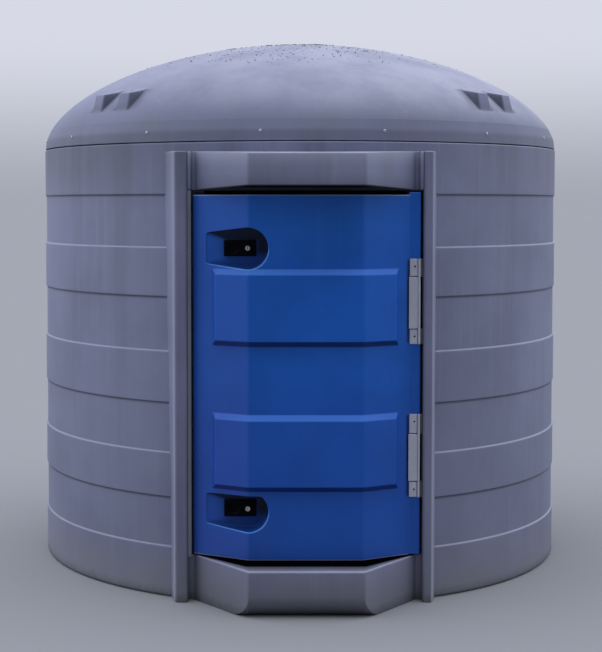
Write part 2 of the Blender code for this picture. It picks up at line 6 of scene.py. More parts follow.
import bmesh
import bpy
import numpy as np
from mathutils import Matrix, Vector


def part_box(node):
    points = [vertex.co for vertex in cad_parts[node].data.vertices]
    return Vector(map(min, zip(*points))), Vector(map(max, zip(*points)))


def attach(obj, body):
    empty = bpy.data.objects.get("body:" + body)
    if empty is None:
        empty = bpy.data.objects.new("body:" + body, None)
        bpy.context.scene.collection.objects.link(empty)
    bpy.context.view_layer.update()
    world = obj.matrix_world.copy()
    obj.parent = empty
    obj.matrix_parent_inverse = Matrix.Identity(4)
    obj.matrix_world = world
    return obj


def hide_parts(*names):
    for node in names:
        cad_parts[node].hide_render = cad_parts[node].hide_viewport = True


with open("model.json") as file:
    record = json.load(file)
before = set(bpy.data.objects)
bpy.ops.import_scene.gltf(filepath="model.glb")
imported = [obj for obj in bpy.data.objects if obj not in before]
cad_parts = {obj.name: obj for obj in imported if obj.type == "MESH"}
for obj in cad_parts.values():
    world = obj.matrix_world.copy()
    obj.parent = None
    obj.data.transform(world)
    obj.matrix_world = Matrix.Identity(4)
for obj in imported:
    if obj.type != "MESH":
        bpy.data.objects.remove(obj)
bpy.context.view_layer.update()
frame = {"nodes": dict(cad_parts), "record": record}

# Outer tank, in metres: the wall's bands step in and out at these heights, from the top down
TANK_RADIUS = 1.200
WALL_THICKNESS = 0.010
WALL_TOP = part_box("wall_over_door")[1].z + 0.003
BAND_RECESS = 0.005
BAND_SLOPE = 0.006
BAND_EDGES = (1.648, 1.434, 1.233, 1.012, 0.801, 0.597, 0.413, 0.210)
LEDGE_ROUNDING = 0.0022
LEDGE_MARGIN = 0.009
FOOT_ROUNDING = 0.014
SEAM_DEPTH = 0.014
WALL_COLUMNS = 300
WALL_UNEVENNESS = 0.0004
# painted shadow under each ledge where a proud band overhangs, and painted highlight on each ledge that looks
# up
LEDGE_PAINTED_SHADOW = 0.75
LEDGE_PAINTED_HIGHLIGHT = 0.70
DOORWAY_TOP = 1.700

# Roof: its dome is a power curve over the rim, and a skirt hangs below the crease
ROOF_BOTTOM = 1.861
ROOF_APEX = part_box("roof_dome")[1].z
ROOF_SPAN = 1.2016
PLAN_POWER = 1.895
RISE_POWER = 1.795
SKIRT_RADIUS = 1.198
SKIRT_MIDDLE = (1.193, 1.904)
CREASE_HEIGHT = 1.948
LUG_BEARINGS_DEG = (42.59, 51.39)
LUG_HALF_WIDTH = 0.0375
LUG_TOP_INNER = (1.022, 2.095)
LUG_TOP_OUTER = (1.115, 2.077)
LUG_ROUNDING = 0.009
LUG_SIDE_STEEPNESS = 9.0
LUG_FACE_STEEPNESS = 3.46
# painted shade beside the lugs' sides
LUG_PAINTED_SHADE = 0.66
SKIRT_SCREW_DEG = -32.7
SKIRT_SCREWS = 15
SKIRT_SCREW_RADIUS = 0.0062
CRUMBS = 620
TWIGS = 9

# Doorway: two posts, a lintel and a threshold with three facets each, and the door's jambs
POST_INNER = 0.4735
POST_OUTER = 0.537
POST_FRONT = -1.150
POST_BACK = -1.020
POST_TOP = 1.820
POST_INNER_ROUNDING = 0.012
FLANK_BACK = -1.050
# where each post's flank starts and ends, its rounding, and how much narrower it is at the foot
POST_FLANKS = {"left": (0.524, 0.571, 0.018, 0.022), "right": (0.511, 0.537, 0.009, 0.0)}
# painted shade over the left post
POST_PAINTED_SHADE = {"left": 0.12, "right": 0.0}
EDGE_ROUNDING = 0.006
LINTEL_HALF_FLAT = 0.228
LINTEL_FRONT = -1.375
LINTEL_END = (0.443, -1.118)
LINTEL_LOW = 1.664
LINTEL_LOW_FRONT = 1.680
LINTEL_TOP_FRONT = 1.806
STRIP_INNER = 0.4585
STRIP_FRONT = -1.1435
CABINET_BACK = -0.6203
THRESHOLD_HALF_FLAT = 0.227
THRESHOLD_FRONT = -1.390
THRESHOLD_END = (0.450, -1.105)
THRESHOLD_TOP = 0.185
TOE_RADIUS = 0.089
GUTTER_HALF_FLAT = 0.236
GUTTER_FRONT = -1.300
GUTTER_END = (0.425, -1.118)
GUTTER_BACK = -1.062
GUTTER_FLOOR = 0.115
LIP_ROUNDING = 0.004
# painted shade on the threshold's toe, which curves under, up to this height, and a painted highlight on its
# lip's front edge
TOE_SHADE_HEIGHT = 0.170
TOE_PAINTED_SHADE = 0.62
THRESHOLD_EDGE_HIGHLIGHT = 0.4
# painted shade on the lintel's face and underside, and a painted highlight on its top
LINTEL_PAINTED_SHADE = 0.36
LINTEL_EDGE_HIGHLIGHT = 0.5
SEAT_GAP = 0.0003

# Door: a faceted face with raised bands and latch recesses, and a hinge flange on its right
DOOR_LEFT = -0.452
DOOR_LEFT_BACK = -0.446
DOOR_HALF_FLAT = 0.2265
DOOR_FRONT = -1.240
DOOR_END = (0.447, -1.120)
DOOR_BACK = -1.065
DOOR_LOW = 0.192
DOOR_TOP = 1.646
DOOR_EDGE = 0.005
FACET_BLEND = 0.007
RAISED_BANDS = ((1.042, 1.354), (0.466, 0.777))
RAISED_HALF_WIDTH = 0.374
RAISED_DEPTH = 0.028
RAISED_SLOPE = 0.021
RAISED_BLEND = 0.003
BACK_FIELD = (-0.372, 0.372, 0.272, 1.566)
BACK_FIELD_HEIGHT = 0.004
FLANGE = ((0.416, -1.137, 0.194), (0.462, -1.067, 1.656))

# Latches: each recess is a D round a centre, cut flat where its top meets a raised band
RECESS_X = -0.231
RECESS_RADIUS = 0.082
RECESS_LEFT = -0.398
RECESS_FLOOR = -1.147
RECESS_TAPER_DEG = 7.2
RECESS_RIM = 0.0035
RECESS_FILLET = 0.007
RECESSES = {"upper": (1.433, 1.600), "lower": (0.387, 0.4484)}
RECESS_FALL = 0.003
PATCHES = {"upper": (-0.424, -0.128, 1.318, 1.536), "lower": (-0.424, -0.128, 0.286, 0.461)}
LATCH_X = -0.2615
LATCH_SIZE = (0.129, 0.026, 0.064)
LATCH_LEFT = LATCH_X - LATCH_SIZE[0] / 2
LATCH_EDGE = 0.003
FINGER_HOLLOW = (0.026, 0.022, 0.006)
BOSS_RADIUS = 0.0185
BOSS_HEIGHT = 0.004
LOCK_RADIUS = 0.010
LOCK_LENGTH = 0.004
KEYWAY = (-0.0009, 0.0009, -0.0042, 0.0042)

# Hinges: heights of each hinge's lower end, its middle stretch and its upper end
HINGES = {"upper": (1.047, 1.109, 1.317, 1.390), "lower": (0.428, 0.493, 0.684, 0.765)}
HINGE_AXIS = (0.456, -1.143)
KNUCKLE_RADIUS = 0.0057
LEAF_INNER = 0.4190
LEAF_OUTER = 0.4498
LEAF_THICKNESS = 0.004
PAD_INNER = 0.4147
PAD_OUTER = 0.4443
PAD_EXTRA = 0.003
LEAF_BREAK = 0.003
LEAF_EDGE = 0.0018
LEAF_SCREW_X = 0.4387
LEAF_SCREW_INSET = 0.031
LEAF_SCREW_RADIUS = 0.0036
FRAME_LEAF = ((0.4702, -1.1385), (0.4732, -1.088))

WELD = 0.00005
SMOOTH_UP_TO_DEG = 40
QUARTER = np.linspace(0, math.pi / 2, 6)[:, None]

# Studio: the sky's brightness, the backdrop that the camera sees, and the photo's viewpoint
SKY_AT_HORIZON = 0.34
SKY_RISE = 1.25
SKY_FRONT_DIMMING = 0.85
SKY_SIDES = 2.40
SKY_LEFT_EXTRA = 0.50
SKY_TINT = (0.88, 0.93, 1.08, 1.0)
BACKDROP_FOOT = (0.371, 0.394, 0.456, 1.0)
BACKDROP = (0.68, 0.70, 0.79, 1.0)
FLOOR_REACH = 200.0
FLOOR_DROP = 0.001
LENS_PX = 1433.0
PICTURE_PX = (602, 652)
PRINCIPAL_PX = (266.5, 206.7)
PITCH = math.radians(2.6)
VIEWPOINT = (-0.156, -6.876, 1.598)


def bend(t, half):
    """A ramp that is level before zero and climbs by one for one beyond it, its corner rounded."""
    t = np.asarray(t, float)
    return np.where(t > half, t, np.where(t < -half, 0.0, (t + half) ** 2 / (4 * half)))


def soft_step(t, width, half):
    """A slope from 0 to 1 over this width, rounded at its foot and its head."""
    return (bend(t, half) - bend(t - width, half)) / width


def soft_max(a, b, reach):
    """The larger of two heights, with a fillet of this reach where they cross."""
    return np.maximum(a, b) + np.maximum(reach - np.abs(a - b), 0) ** 2 / (4 * reach)


def ramp(t, width):
    """A straight slope from 0 to 1 over this width."""
    return np.clip(t / width, 0, 1)


def bell(t, width):
    """1 at zero, falling off over about this width on both sides."""
    return np.exp(-(t / width) ** 2)


def stops(*values):
    """Grid lines between places, given as place, spacing, place, spacing and so on to the last place."""
    lines = [np.array(values[:1], float)]
    for start, spacing, stop in zip(values[0::2], values[1::2], values[2::2]):
        count = max(1, math.ceil(abs(stop - start) / spacing - 1e-6))
        lines.append(np.linspace(start, stop, count + 1)[1:])
    return np.concatenate(lines)


def rounded(corners, radii, steps=4, closed=False):
    """A line through corner points with each corner turned into an arc; a radius of 0 keeps it sharp."""
    corners = np.asarray(corners, float)
    radii = np.broadcast_to(radii, len(corners))
    share = np.linspace(0, 1, steps + 1)[:, None]
    parts = []
    for i, (here, radius) in enumerate(zip(corners, radii)):
        if radius <= 0 or (not closed and i in (0, len(corners) - 1)):
            parts.append(here[None])
            continue
        back = corners[i - 1] - here
        ahead = corners[(i + 1) % len(corners)] - here
        back /= np.linalg.norm(back)
        ahead /= np.linalg.norm(ahead)
        half = math.acos(np.clip(back @ ahead, -1, 1)) / 2
        centre = here + (back + ahead) / np.linalg.norm(back + ahead) * radius / math.sin(half)
        first = here + back * radius / math.tan(half) - centre
        last = here + ahead * radius / math.tan(half) - centre
        sweep = math.pi - 2 * half
        arc = (np.sin((1 - share) * sweep) * first + np.sin(share * sweep) * last) / math.sin(sweep)
        parts.append(centre + arc)
    return np.concatenate(parts)


def rectangle(left, right, low, high):
    """A rectangle's corners in turn, from its lower left one."""
    return [(left, low), (right, low), (right, high), (left, high)]


class Skin:
    """Gathers grids of points, each a surface in two parameters, into one welded mesh."""

    def __init__(self):
        self.points = []
        self.painted_light = []
        self.faces = []
        self.count = 0

    def add(self, x, y, z, painted_light=0.0, wrap=False, flip=False, keep=None):
        """Adds a grid; wrap joins its last column to its first, and keep says which cells are wanted."""
        x, y, z, painted_light = np.broadcast_arrays(x, y, z, painted_light)
        rows, columns = x.shape
        across = np.arange(columns if wrap else columns - 1)
        beside = (across + 1) % columns
        down = np.arange(rows - 1)[:, None] * columns
        cells = np.stack(np.broadcast_arrays(down + across, down + beside, down + columns + beside,
                                             down + columns + across), axis=-1)
        cells = cells[keep] if keep is not None else cells.reshape(-1, 4)
        self.faces += (self.count + (cells[:, ::-1] if flip else cells)).tolist()
        self.points.append(np.stack([x, y, z], axis=-1).reshape(-1, 3))
        self.painted_light.append(painted_light.reshape(-1))
        first = self.count
        self.count += rows * columns
        return first

    def prism(self, outline, low, high, edge=0.003, foot=0.001, steps=4, place=None, painted_light=0.0):
        """A closed outline swept from low to high, its top edge rounded by edge and its foot by foot."""
        side = np.roll(outline, -1, 0) - outline
        side /= np.linalg.norm(side, axis=1, keepdims=True)
        normal = np.stack([side[:, 1], -side[:, 0]], axis=1)
        pair = normal + np.roll(normal, 1, 0)
        out = 2 * pair / (pair ** 2).sum(1, keepdims=True)
        turn = np.linspace(0, math.pi / 2, steps + 1)[:, None]
        inset = np.concatenate([foot * (1 - np.sin(turn)), edge * (1 - np.cos(turn))])
        x = outline[:, 0] - out[:, 0] * inset
        y = outline[:, 1] - out[:, 1] * inset
        low, high = np.broadcast_to(low, len(outline)), np.broadcast_to(high, len(outline))
        z = np.concatenate([low + foot * (1 - np.cos(turn)), high - edge * (1 - np.sin(turn))])
        if place:
            x, y, z = place(x, y, z)
        first = self.add(x, y, z, painted_light, wrap=True)
        ring = list(range(first, first + len(outline)))
        self.faces.append(ring[::-1])
        self.faces.append([corner + self.count - first - len(outline) for corner in ring])

    def turn(self, profile, place, columns=24, painted_light=0.0):
        """A profile of (radius, height) points turned about its own axis and then put in place."""
        radius, height = np.asarray(profile, float).T[:, :, None]
        bearing = np.linspace(0, 2 * math.pi, columns, endpoint=False)[None]
        shape = np.broadcast_arrays(radius * np.cos(bearing), radius * np.sin(bearing), height)
        self.add(*place(*shape), painted_light, wrap=True)

    def block(self, xs, zs, front, back, edge, holes=(), painted_light=0.0, left_draft=0.0):
        """A closed block with a face at y = front(x, z), its rim rounded by edge into straight sides.
        The grid lines xs and zs run from rim to rim; each hole is a (left, right, low, high) window."""
        turn = np.linspace(0, math.pi / 2, 5)[:-1]
        inset, fall = edge * (1 - np.cos(turn)), edge * (1 - np.sin(turn))

        def with_rims(lines):
            first, last = lines[0] - edge, lines[-1] + edge
            spread = np.concatenate([[first], first + inset, lines, (last - inset)[::-1], [last]])
            return spread, np.concatenate([[0], fall, 0 * lines, fall[::-1], [0]])

        (x, drop_x), (z, drop_z) = with_rims(xs), with_rims(zs)
        x[0] += left_draft
        x, z = np.meshgrid(x, z)
        y = np.minimum(front(x, z) + drop_x + drop_z[:, None], back)
        y[[0, -1], :] = back
        y[:, [0, -1]] = back
        middle_x = (x[1:, 1:] + x[1:, :-1]) / 2
        middle_z = (z[1:, 1:] + z[:-1, 1:]) / 2
        keep = np.ones_like(middle_x, bool)
        for left, right, low, high in holes:
            keep &= ~((middle_x > left) & (middle_x < right) & (middle_z > low) & (middle_z < high))
        first = self.add(x, y, z, painted_light(x, z) if callable(painted_light) else painted_light, keep=keep)
        index = first + np.arange(x.size).reshape(x.shape)
        rim = np.concatenate([index[0], index[1:, -1], index[-1, -2::-1], index[-2:0:-1, 0]])
        self.faces.append(rim[::-1].tolist())

    def build(self, name, material, body="tank", replaces=(), thickness=0.0):
        """Makes the object, welds the grids where they meet, shades it and fixes it to a body. It replaces
        the given nodes, or the one of its name if there is one. An open shell is thickened inwards."""
        mesh = bpy.data.meshes.new(name)
        mesh.from_pydata(np.concatenate(self.points), [], self.faces)
        # Each point's value here paints light into the colour: positive values paint shade, negative values
        # paint highlights.
        painted_light = mesh.attributes.new("painted_light", "FLOAT", "POINT")
        painted_light.data.foreach_set("value", np.concatenate(self.painted_light).astype(np.float32))
        bm = bmesh.new()
        bm.from_mesh(mesh)
        bmesh.ops.remove_doubles(bm, verts=bm.verts, dist=WELD)
        if not thickness:
            bmesh.ops.recalc_face_normals(bm, faces=bm.faces)
        bm.to_mesh(mesh)
        bm.free()
        mesh.shade_smooth()
        mesh.set_sharp_from_angle(angle=math.radians(SMOOTH_UP_TO_DEG))
        mesh.materials.append(material)
        piece = bpy.data.objects.new(name, mesh)
        bpy.context.scene.collection.objects.link(piece)
        if thickness:
            solidify = piece.modifiers.new("thickness", "SOLIDIFY")
            solidify.thickness = thickness
            solidify.offset = -1
        flat_shading = piece.modifiers.new("large_faces_shade_flat", "WEIGHTED_NORMAL")
        flat_shading.keep_sharp = True
        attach(piece, body)
        replaces = replaces or [node for node in frame["nodes"] if node == name]
        if replaces:
            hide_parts(*replaces)


def facing_front_at(x, y, z):
    """Puts a shape that was drawn upright at a place with its top facing the front."""
    return lambda a, b, c: (x + a, y - c, z + b)


def math_node(operation, swap=False):
    """An operator of sockets that adds a Math node; swap puts the other value first."""
    def apply(self, other):
        first, second = (other, self) if swap else (self, other)
        return self.graph.node("ShaderNodeMath", {"operation": operation}, {0: first, 1: second})
    return apply


class Socket:
    """A value in a material's node tree; arithmetic on it adds the Math nodes."""

    def __init__(self, graph, output):
        self.graph = graph
        self.output = output

    __add__ = __radd__ = math_node("ADD")
    __mul__ = __rmul__ = math_node("MULTIPLY")
    __sub__ = math_node("SUBTRACT")
    __rsub__ = math_node("SUBTRACT", swap=True)
    most = math_node("MAXIMUM")


class Graph:
    """The node tree of a material or of the sky, with one shader whose sockets are set by name. A
    material's colour is built up in layers, from its base."""

    def __init__(self, owner, base=None, shader="Principled BSDF"):
        self.owner = owner
        self.base = base
        owner.use_nodes = True
        self.tree = owner.node_tree
        self.shader = self.tree.nodes[shader]
        self.place = self.node("ShaderNodeTexCoord", {}, {}, "Object")
        self.x, self.y, self.z = (self.node("ShaderNodeSeparateXYZ", {}, {0: self.place}, axis)
                                  for axis in range(3))

    def node(self, kind, settings, inputs, output=0):
        """Adds any node: its settings first, then its input sockets, each a Socket or a plain value."""
        node = self.tree.nodes.new(kind)
        for name, value in settings.items():
            setattr(node, name, value)
        for name, value in inputs.items():
            self.join(value, node.inputs[name])
        return Socket(self, node.outputs[output])

    def join(self, value, socket):
        """Links a Socket into an input, or sets a plain value on it."""
        if isinstance(value, Socket):
            self.tree.links.new(value.output, socket)
        else:
            socket.default_value = value

    def noise(self, scale, detail=3.0, stretch=(1.0, 1.0, 1.0), roughness=0.55):
        """Smooth random values round 0.5 over the piece, scale in cells a metre, stretched by axis."""
        place = self.node("ShaderNodeVectorMath", {"operation": "MULTIPLY"}, {0: self.place, 1: stretch})
        inputs = {"Vector": place, "Scale": scale, "Detail": detail, "Roughness": roughness}
        return self.node("ShaderNodeTexNoise", {"noise_dimensions": "3D"}, inputs, "Fac")

    def step(self, value, low, high):
        """0 below low and 1 above high, easing in between; low may be the larger one."""
        inputs = {"Value": value, "From Min": low, "From Max": high}
        return self.node("ShaderNodeMapRange", {"interpolation_type": "SMOOTHSTEP"}, inputs)

    def mix(self, share, first, second):
        """A colour between two colours."""
        return self.node("ShaderNodeMix", {"data_type": "RGBA"}, {0: share, 6: first, 7: second}, 2)

    def paint(self, share, red, green, blue):
        """Lays a colour over the base so far, in this share."""
        self.base = self.mix(share, self.base, colour(red, green, blue))

    def attribute(self, name):
        """The piece's own value of this name."""
        return self.node("ShaderNodeAttribute", {"attribute_name": name}, {}, "Fac")

    def facing_up(self):
        """How far the surface looks up: 1 for level, 0 for upright, negative underneath."""
        normal = self.node("ShaderNodeNewGeometry", {}, {}, "Normal")
        return self.node("ShaderNodeSeparateXYZ", {}, {0: normal}, 2)

    def bump(self, height, distance):
        """A normal tilted by a height that is given in parts of this distance."""
        return self.node("ShaderNodeBump", {}, {"Height": height, "Distance": distance})

    def peel(self, distance, *layers):
        """The faint unevenness of a moulding: each layer is a noise's scale and its share of the distance."""
        return self.bump(sum(self.noise(scale, detail=2.0) * share for scale, share in layers), distance)

    def finish(self, **values):
        """Sets the shader's sockets, with underscores for the spaces in their names, and its base colour."""
        if self.base:
            values["Base_Color"] = self.base
        for name, value in values.items():
            self.join(value, self.shader.inputs[name.replace("_", " ")])
        return self.owner


def colour(red, green, blue):
    """A linear colour with full alpha."""
    return (red, green, blue, 1.0)


def moulded_grey():
    """Outdoor grey polyethylene: cloudy, with run marks and splashes low down, dust and painted sky light on
    what looks up, and painted shade and highlights.
    """
    g = Graph(bpy.data.materials.new("moulded_grey"), colour(0.176, 0.189, 0.282))
    cloud = g.noise(1.7, detail=4.0, roughness=0.6)
    moss = g.noise(4.5, detail=5.0, roughness=0.62)
    speck = g.noise(38.0, detail=5.0, roughness=0.7)
    runs = g.noise(9.0, detail=5.0, stretch=(1.0, 1.0, 0.05), roughness=0.6)
    fine_runs = g.noise(34.0, detail=4.0, stretch=(1.0, 1.0, 0.03), roughness=0.6)
    up = g.facing_up()
    painted_light = g.attribute("painted_light")
    g.paint(g.step(cloud, 0.32, 0.68), 0.222, 0.237, 0.345)
    g.paint(g.step(runs, 0.50, 0.72) * 0.34, 0.145, 0.157, 0.210)
    g.paint(g.step(fine_runs, 0.53, 0.75) * 0.20, 0.330, 0.345, 0.440)
    g.paint(g.step(speck, 0.60, 0.80) * 0.22, 0.340, 0.350, 0.420)

    # Painted shade on the wall under the roof's skirt, streaked and heavier towards the sides, most on the
    # left.
    seam = ROOF_BOTTOM
    under_seam = g.step(g.z, seam - 0.31, seam - 0.01) * g.step(g.z, seam + 0.07, seam)
    seam_shade = g.step(runs, 0.42, 0.66) * 0.30 + g.x * (g.x * 0.35 - 0.15)
    g.paint(under_seam * seam_shade, 0.125, 0.136, 0.168)
    # Painted shade: darker towards the bottom.
    g.paint(g.step(g.z, 1.10, 0.30) * 0.18, 0.110, 0.118, 0.165)
    skirt = g.step(g.z, seam, seam + 0.01) * g.step(g.z, seam + 0.24, seam + 0.04)
    g.paint(skirt * g.step(moss, 0.55, 0.70) * 0.45, 0.185, 0.215, 0.205)
    # Painted shade on the skirt, which looks down.
    g.paint(skirt * 0.38, 0.110, 0.118, 0.165)

    # Dust and painted sky light on what looks up, the painted light stronger on the right side.
    dust_and_sky_light = g.step(up + g.x * 0.14, 0.50, 1.0)
    dust_and_light_amount = g.step(moss, 0.25, 0.70) * 0.40 + 0.36 + g.x * 0.12
    g.paint(dust_and_sky_light * dust_and_light_amount, 0.510, 0.510, 0.600)
    g.paint(dust_and_sky_light * g.step(speck, 0.58, 0.70) * 0.30, 0.230, 0.235, 0.245)

    splash = g.step(g.z + moss * 0.26, 0.42, 0.10)
    g.paint(splash * 0.55, 0.235, 0.225, 0.215)
    # Painted shade: a dark band at the very foot stands for the contact shadow on the ground.
    g.paint(g.step(g.z + speck * 0.05, 0.075, 0.020) * 0.60, 0.070, 0.068, 0.068)
    # The pieces' own values paint light: negative values paint highlights, positive values paint shade.
    g.paint(g.step(painted_light, 0.0, -0.9) * 0.8, 0.440, 0.460, 0.560)
    g.paint(painted_light * 0.95, 0.018, 0.019, 0.030)

    rough = 0.47 + cloud * 0.10 + dust_and_sky_light * 0.16 + splash * 0.14 + speck * 0.06
    normal = g.peel(0.0011, (230.0, 0.16), (60.0, 0.30), (5.0, 2.4))
    return g.finish(Roughness=rough, Normal=normal, Specular_IOR_Level=0.42)


def door_blue():
    """Satin blue moulding: slightly cloudy, with run marks, dust and painted sky light on what looks up,
    painted highlights on its rims and painted shade.
    """
    g = Graph(bpy.data.materials.new("door_blue"), colour(0.003, 0.086, 0.400))
    cloud = g.noise(2.6, detail=4.0)
    speck = g.noise(42.0, detail=5.0, roughness=0.7)
    runs = g.noise(15.0, detail=5.0, stretch=(1.0, 1.0, 0.05), roughness=0.6)
    up = g.facing_up()
    painted_light = g.attribute("painted_light")
    g.paint(g.step(cloud, 0.30, 0.70), 0.006, 0.112, 0.510)
    g.paint(g.step(runs, 0.52, 0.76) * 0.30, 0.030, 0.120, 0.430)
    g.paint(g.step(speck, 0.60, 0.80) * 0.12, 0.100, 0.180, 0.420)
    # Dust and painted sky light on what looks up, kept out of the painted shade.
    dust_and_sky_light = g.step(up, 0.20, 0.90) * (0.45 + cloud * 0.5) * g.step(painted_light, 0.25, 0.0)
    g.paint(dust_and_sky_light, 0.085, 0.265, 0.760)
    # Painted shade on the faces that look down.
    g.paint(g.step(up, -0.15, -0.60) * 0.85, 0.001, 0.015, 0.100)
    low = g.step(g.z + cloud * 0.30, 0.62, 0.24)
    g.paint(low * 0.08, 0.160, 0.180, 0.250)
    # Painted shade darker towards the bottom, and painted light lighter towards the top, under the lintel.
    g.paint(g.step(g.z, 0.95, 0.65) * 0.25, 0.018, 0.040, 0.300)
    g.paint(g.step(g.z, 1.35, 1.60) * 0.20, 0.020, 0.170, 0.650)
    # Painted sheen on the door's left facet, a whitish reflection of the bright left side.
    sheen_on_left_facet = g.step(g.x, 0.006 - DOOR_HALF_FLAT, -0.014 - DOOR_HALF_FLAT)
    in_front = g.step(g.y, DOOR_BACK - 0.015, DOOR_BACK - 0.035) * g.step(painted_light, 0.10, 0.0)
    g.paint(sheen_on_left_facet * in_front * 0.13, 0.110, 0.120, 0.480)
    # Painted highlights along the door's top and bottom edges, left off the flange.
    rim_highlight = g.step(g.z, DOOR_TOP - 0.006, DOOR_TOP - 0.002) + g.step(g.z, DOOR_LOW + 0.006, DOOR_LOW + 0.002)
    off_flange = g.step(g.x, FLANGE[0][0] + 0.009, FLANGE[0][0] - 0.006)
    g.paint(rim_highlight * off_flange * 0.8, 0.400, 0.470, 0.680)
    # The pieces' own values paint light: negative values paint highlights, positive values paint shade.
    g.paint(g.step(painted_light, 0.0, -0.9) * 0.8, 0.130, 0.330, 0.800)
    g.paint(painted_light * 0.95, 0.001, 0.004, 0.024)
    rough = 0.34 + cloud * 0.10 + speck * 0.08 + dust_and_sky_light * 0.25 + low * 0.18
    normal = g.peel(0.0010, (230.0, 0.12), (60.0, 0.22), (7.0, 1.6))
    return g.finish(Roughness=rough, Normal=normal, Specular_IOR_Level=0.28)


def inner_wall_grey():
    """Sheltered grey polyethylene inside the tank: cleaner, with drips and fuel stains on its floors."""
    g = Graph(bpy.data.materials.new("inner_wall_grey"), colour(0.142, 0.148, 0.172))
    cloud = g.noise(2.2, detail=4.0)
    speck = g.noise(36.0, detail=5.0, roughness=0.7)
    runs = g.noise(16.0, detail=5.0, stretch=(1.0, 1.0, 0.06), roughness=0.6)
    g.paint(g.step(cloud, 0.30, 0.70), 0.178, 0.184, 0.208)
    g.paint(g.step(runs, 0.54, 0.76) * 0.25, 0.110, 0.112, 0.122)
    level = g.step(g.facing_up(), 0.6, 0.95)
    stain = g.step(cloud, 0.45, 0.60)
    g.paint(level * (0.25 + stain * 0.45), 0.085, 0.080, 0.072)
    g.paint(level * g.step(speck, 0.56, 0.68) * 0.5, 0.250, 0.245, 0.230)
    rough = 0.50 + cloud * 0.12 - level * stain * 0.18
    return g.finish(Roughness=rough, Normal=g.peel(0.0010, (210.0, 0.15), (6.0, 2.0)))


def hinge_steel():
    """Dull zinc-plated steel with a faint mottle and white bloom, with painted shade darkening the frame
    leaves.
    """
    g = Graph(bpy.data.materials.new("hinge_steel"), colour(0.540, 0.550, 0.620))
    mottle = g.noise(260.0)
    bloom = g.noise(28.0, detail=5.0, roughness=0.7)
    painted_light = g.attribute("painted_light")
    g.paint(g.step(mottle, 0.30, 0.70), 0.620, 0.630, 0.700)
    g.paint(g.step(bloom, 0.52, 0.75) * 0.60, 0.760, 0.760, 0.800)
    # Painted shade: the frame leaves, in their dark slot, are turned near black with a dark mottle, and less
    # metallic.
    frame_leaf_shade = g.mix(g.step(bloom, 0.35, 0.60), colour(0.024, 0.022, 0.026), colour(0.050, 0.034, 0.026))
    g.base = g.mix(painted_light * 0.9, g.base, frame_leaf_shade)
    rough = 0.34 + mottle * 0.16 + g.step(bloom, 0.50, 0.72) * 0.20
    metal = 0.90 - g.step(bloom, 0.55, 0.75) * 0.45 - painted_light * 0.5
    return g.finish(Roughness=rough, Metallic=metal, Normal=g.bump(mottle, 0.0003))


def latch_black():
    """Satin black latch plastic, dusty in its texture and where it looks up."""
    g = Graph(bpy.data.materials.new("latch_black"), colour(0.0012, 0.0015, 0.0028))
    speck = g.noise(160.0, detail=4.0, roughness=0.7)
    rough = 0.50 + g.noise(24.0, detail=4.0) * 0.22
    g.paint(g.step(speck, 0.55, 0.75) * 0.4, 0.0060, 0.0066, 0.0090)
    g.paint(g.step(g.facing_up(), 0.3, 0.9) * 0.4, 0.022, 0.024, 0.030)
    normal = g.bump(speck, 0.0002)
    return g.finish(Roughness=rough, Normal=normal, Specular_IOR_Level=0.06)


def lock_chrome():
    """Plated lock face with fine upright scratches."""
    g = Graph(bpy.data.materials.new("lock_chrome"), colour(0.400, 0.395, 0.395))
    scratch = g.noise(900.0, stretch=(1.0, 0.2, 0.12))
    rough = 0.16 + scratch * 0.22
    g.paint(g.step(scratch, 0.4, 0.7), 0.520, 0.515, 0.515)
    return g.finish(Roughness=rough, Metallic=0.95, Normal=g.bump(scratch, 0.00006))


def leaf_litter():
    """Dark crumbs and twigs, from near black to brown."""
    g = Graph(bpy.data.materials.new("leaf_litter"), colour(0.016, 0.013, 0.010))
    grain = g.noise(600.0)
    g.paint(g.step(g.noise(70.0, detail=1.0), 0.40, 0.60), 0.085, 0.070, 0.050)
    return g.finish(Roughness=0.75 + grain * 0.15, Normal=g.bump(grain, 0.0004))


def studio_floor():
    """Pale plain studio floor."""
    g = Graph(bpy.data.materials.new("studio_floor"), colour(0.330, 0.330, 0.330))
    g.paint(g.noise(0.8), 0.342, 0.342, 0.342)
    return g.finish(Roughness=0.90, Specular_IOR_Level=0.0)


def wall_profile():
    """The banded wall's section from the ledge in the seam down to the ground, as (radius, height)."""
    corners = [(TANK_RADIUS - SEAM_DEPTH, WALL_TOP), (TANK_RADIUS, WALL_TOP), (TANK_RADIUS, DOORWAY_TOP)]
    radii = [0, 0.006, 0]
    proud = True
    for edge in BAND_EDGES:
        above, below = (0.0, BAND_RECESS) if proud else (BAND_RECESS, 0.0)
        head, foot = edge + BAND_SLOPE / 2, edge - BAND_SLOPE / 2
        corners += [(TANK_RADIUS - above, head + LEDGE_MARGIN), (TANK_RADIUS - above, head)]
        corners += [(TANK_RADIUS - below, foot), (TANK_RADIUS - below, foot - LEDGE_MARGIN)]
        radii += [0, LEDGE_ROUNDING, LEDGE_ROUNDING, 0]
        proud = not proud
    corners += [(TANK_RADIUS, 0.060), (TANK_RADIUS, 0.0), (TANK_RADIUS - SEAM_DEPTH, 0.0)]
    radii += [0, FOOT_ROUNDING, 0]
    return rounded(corners, radii, steps=4)


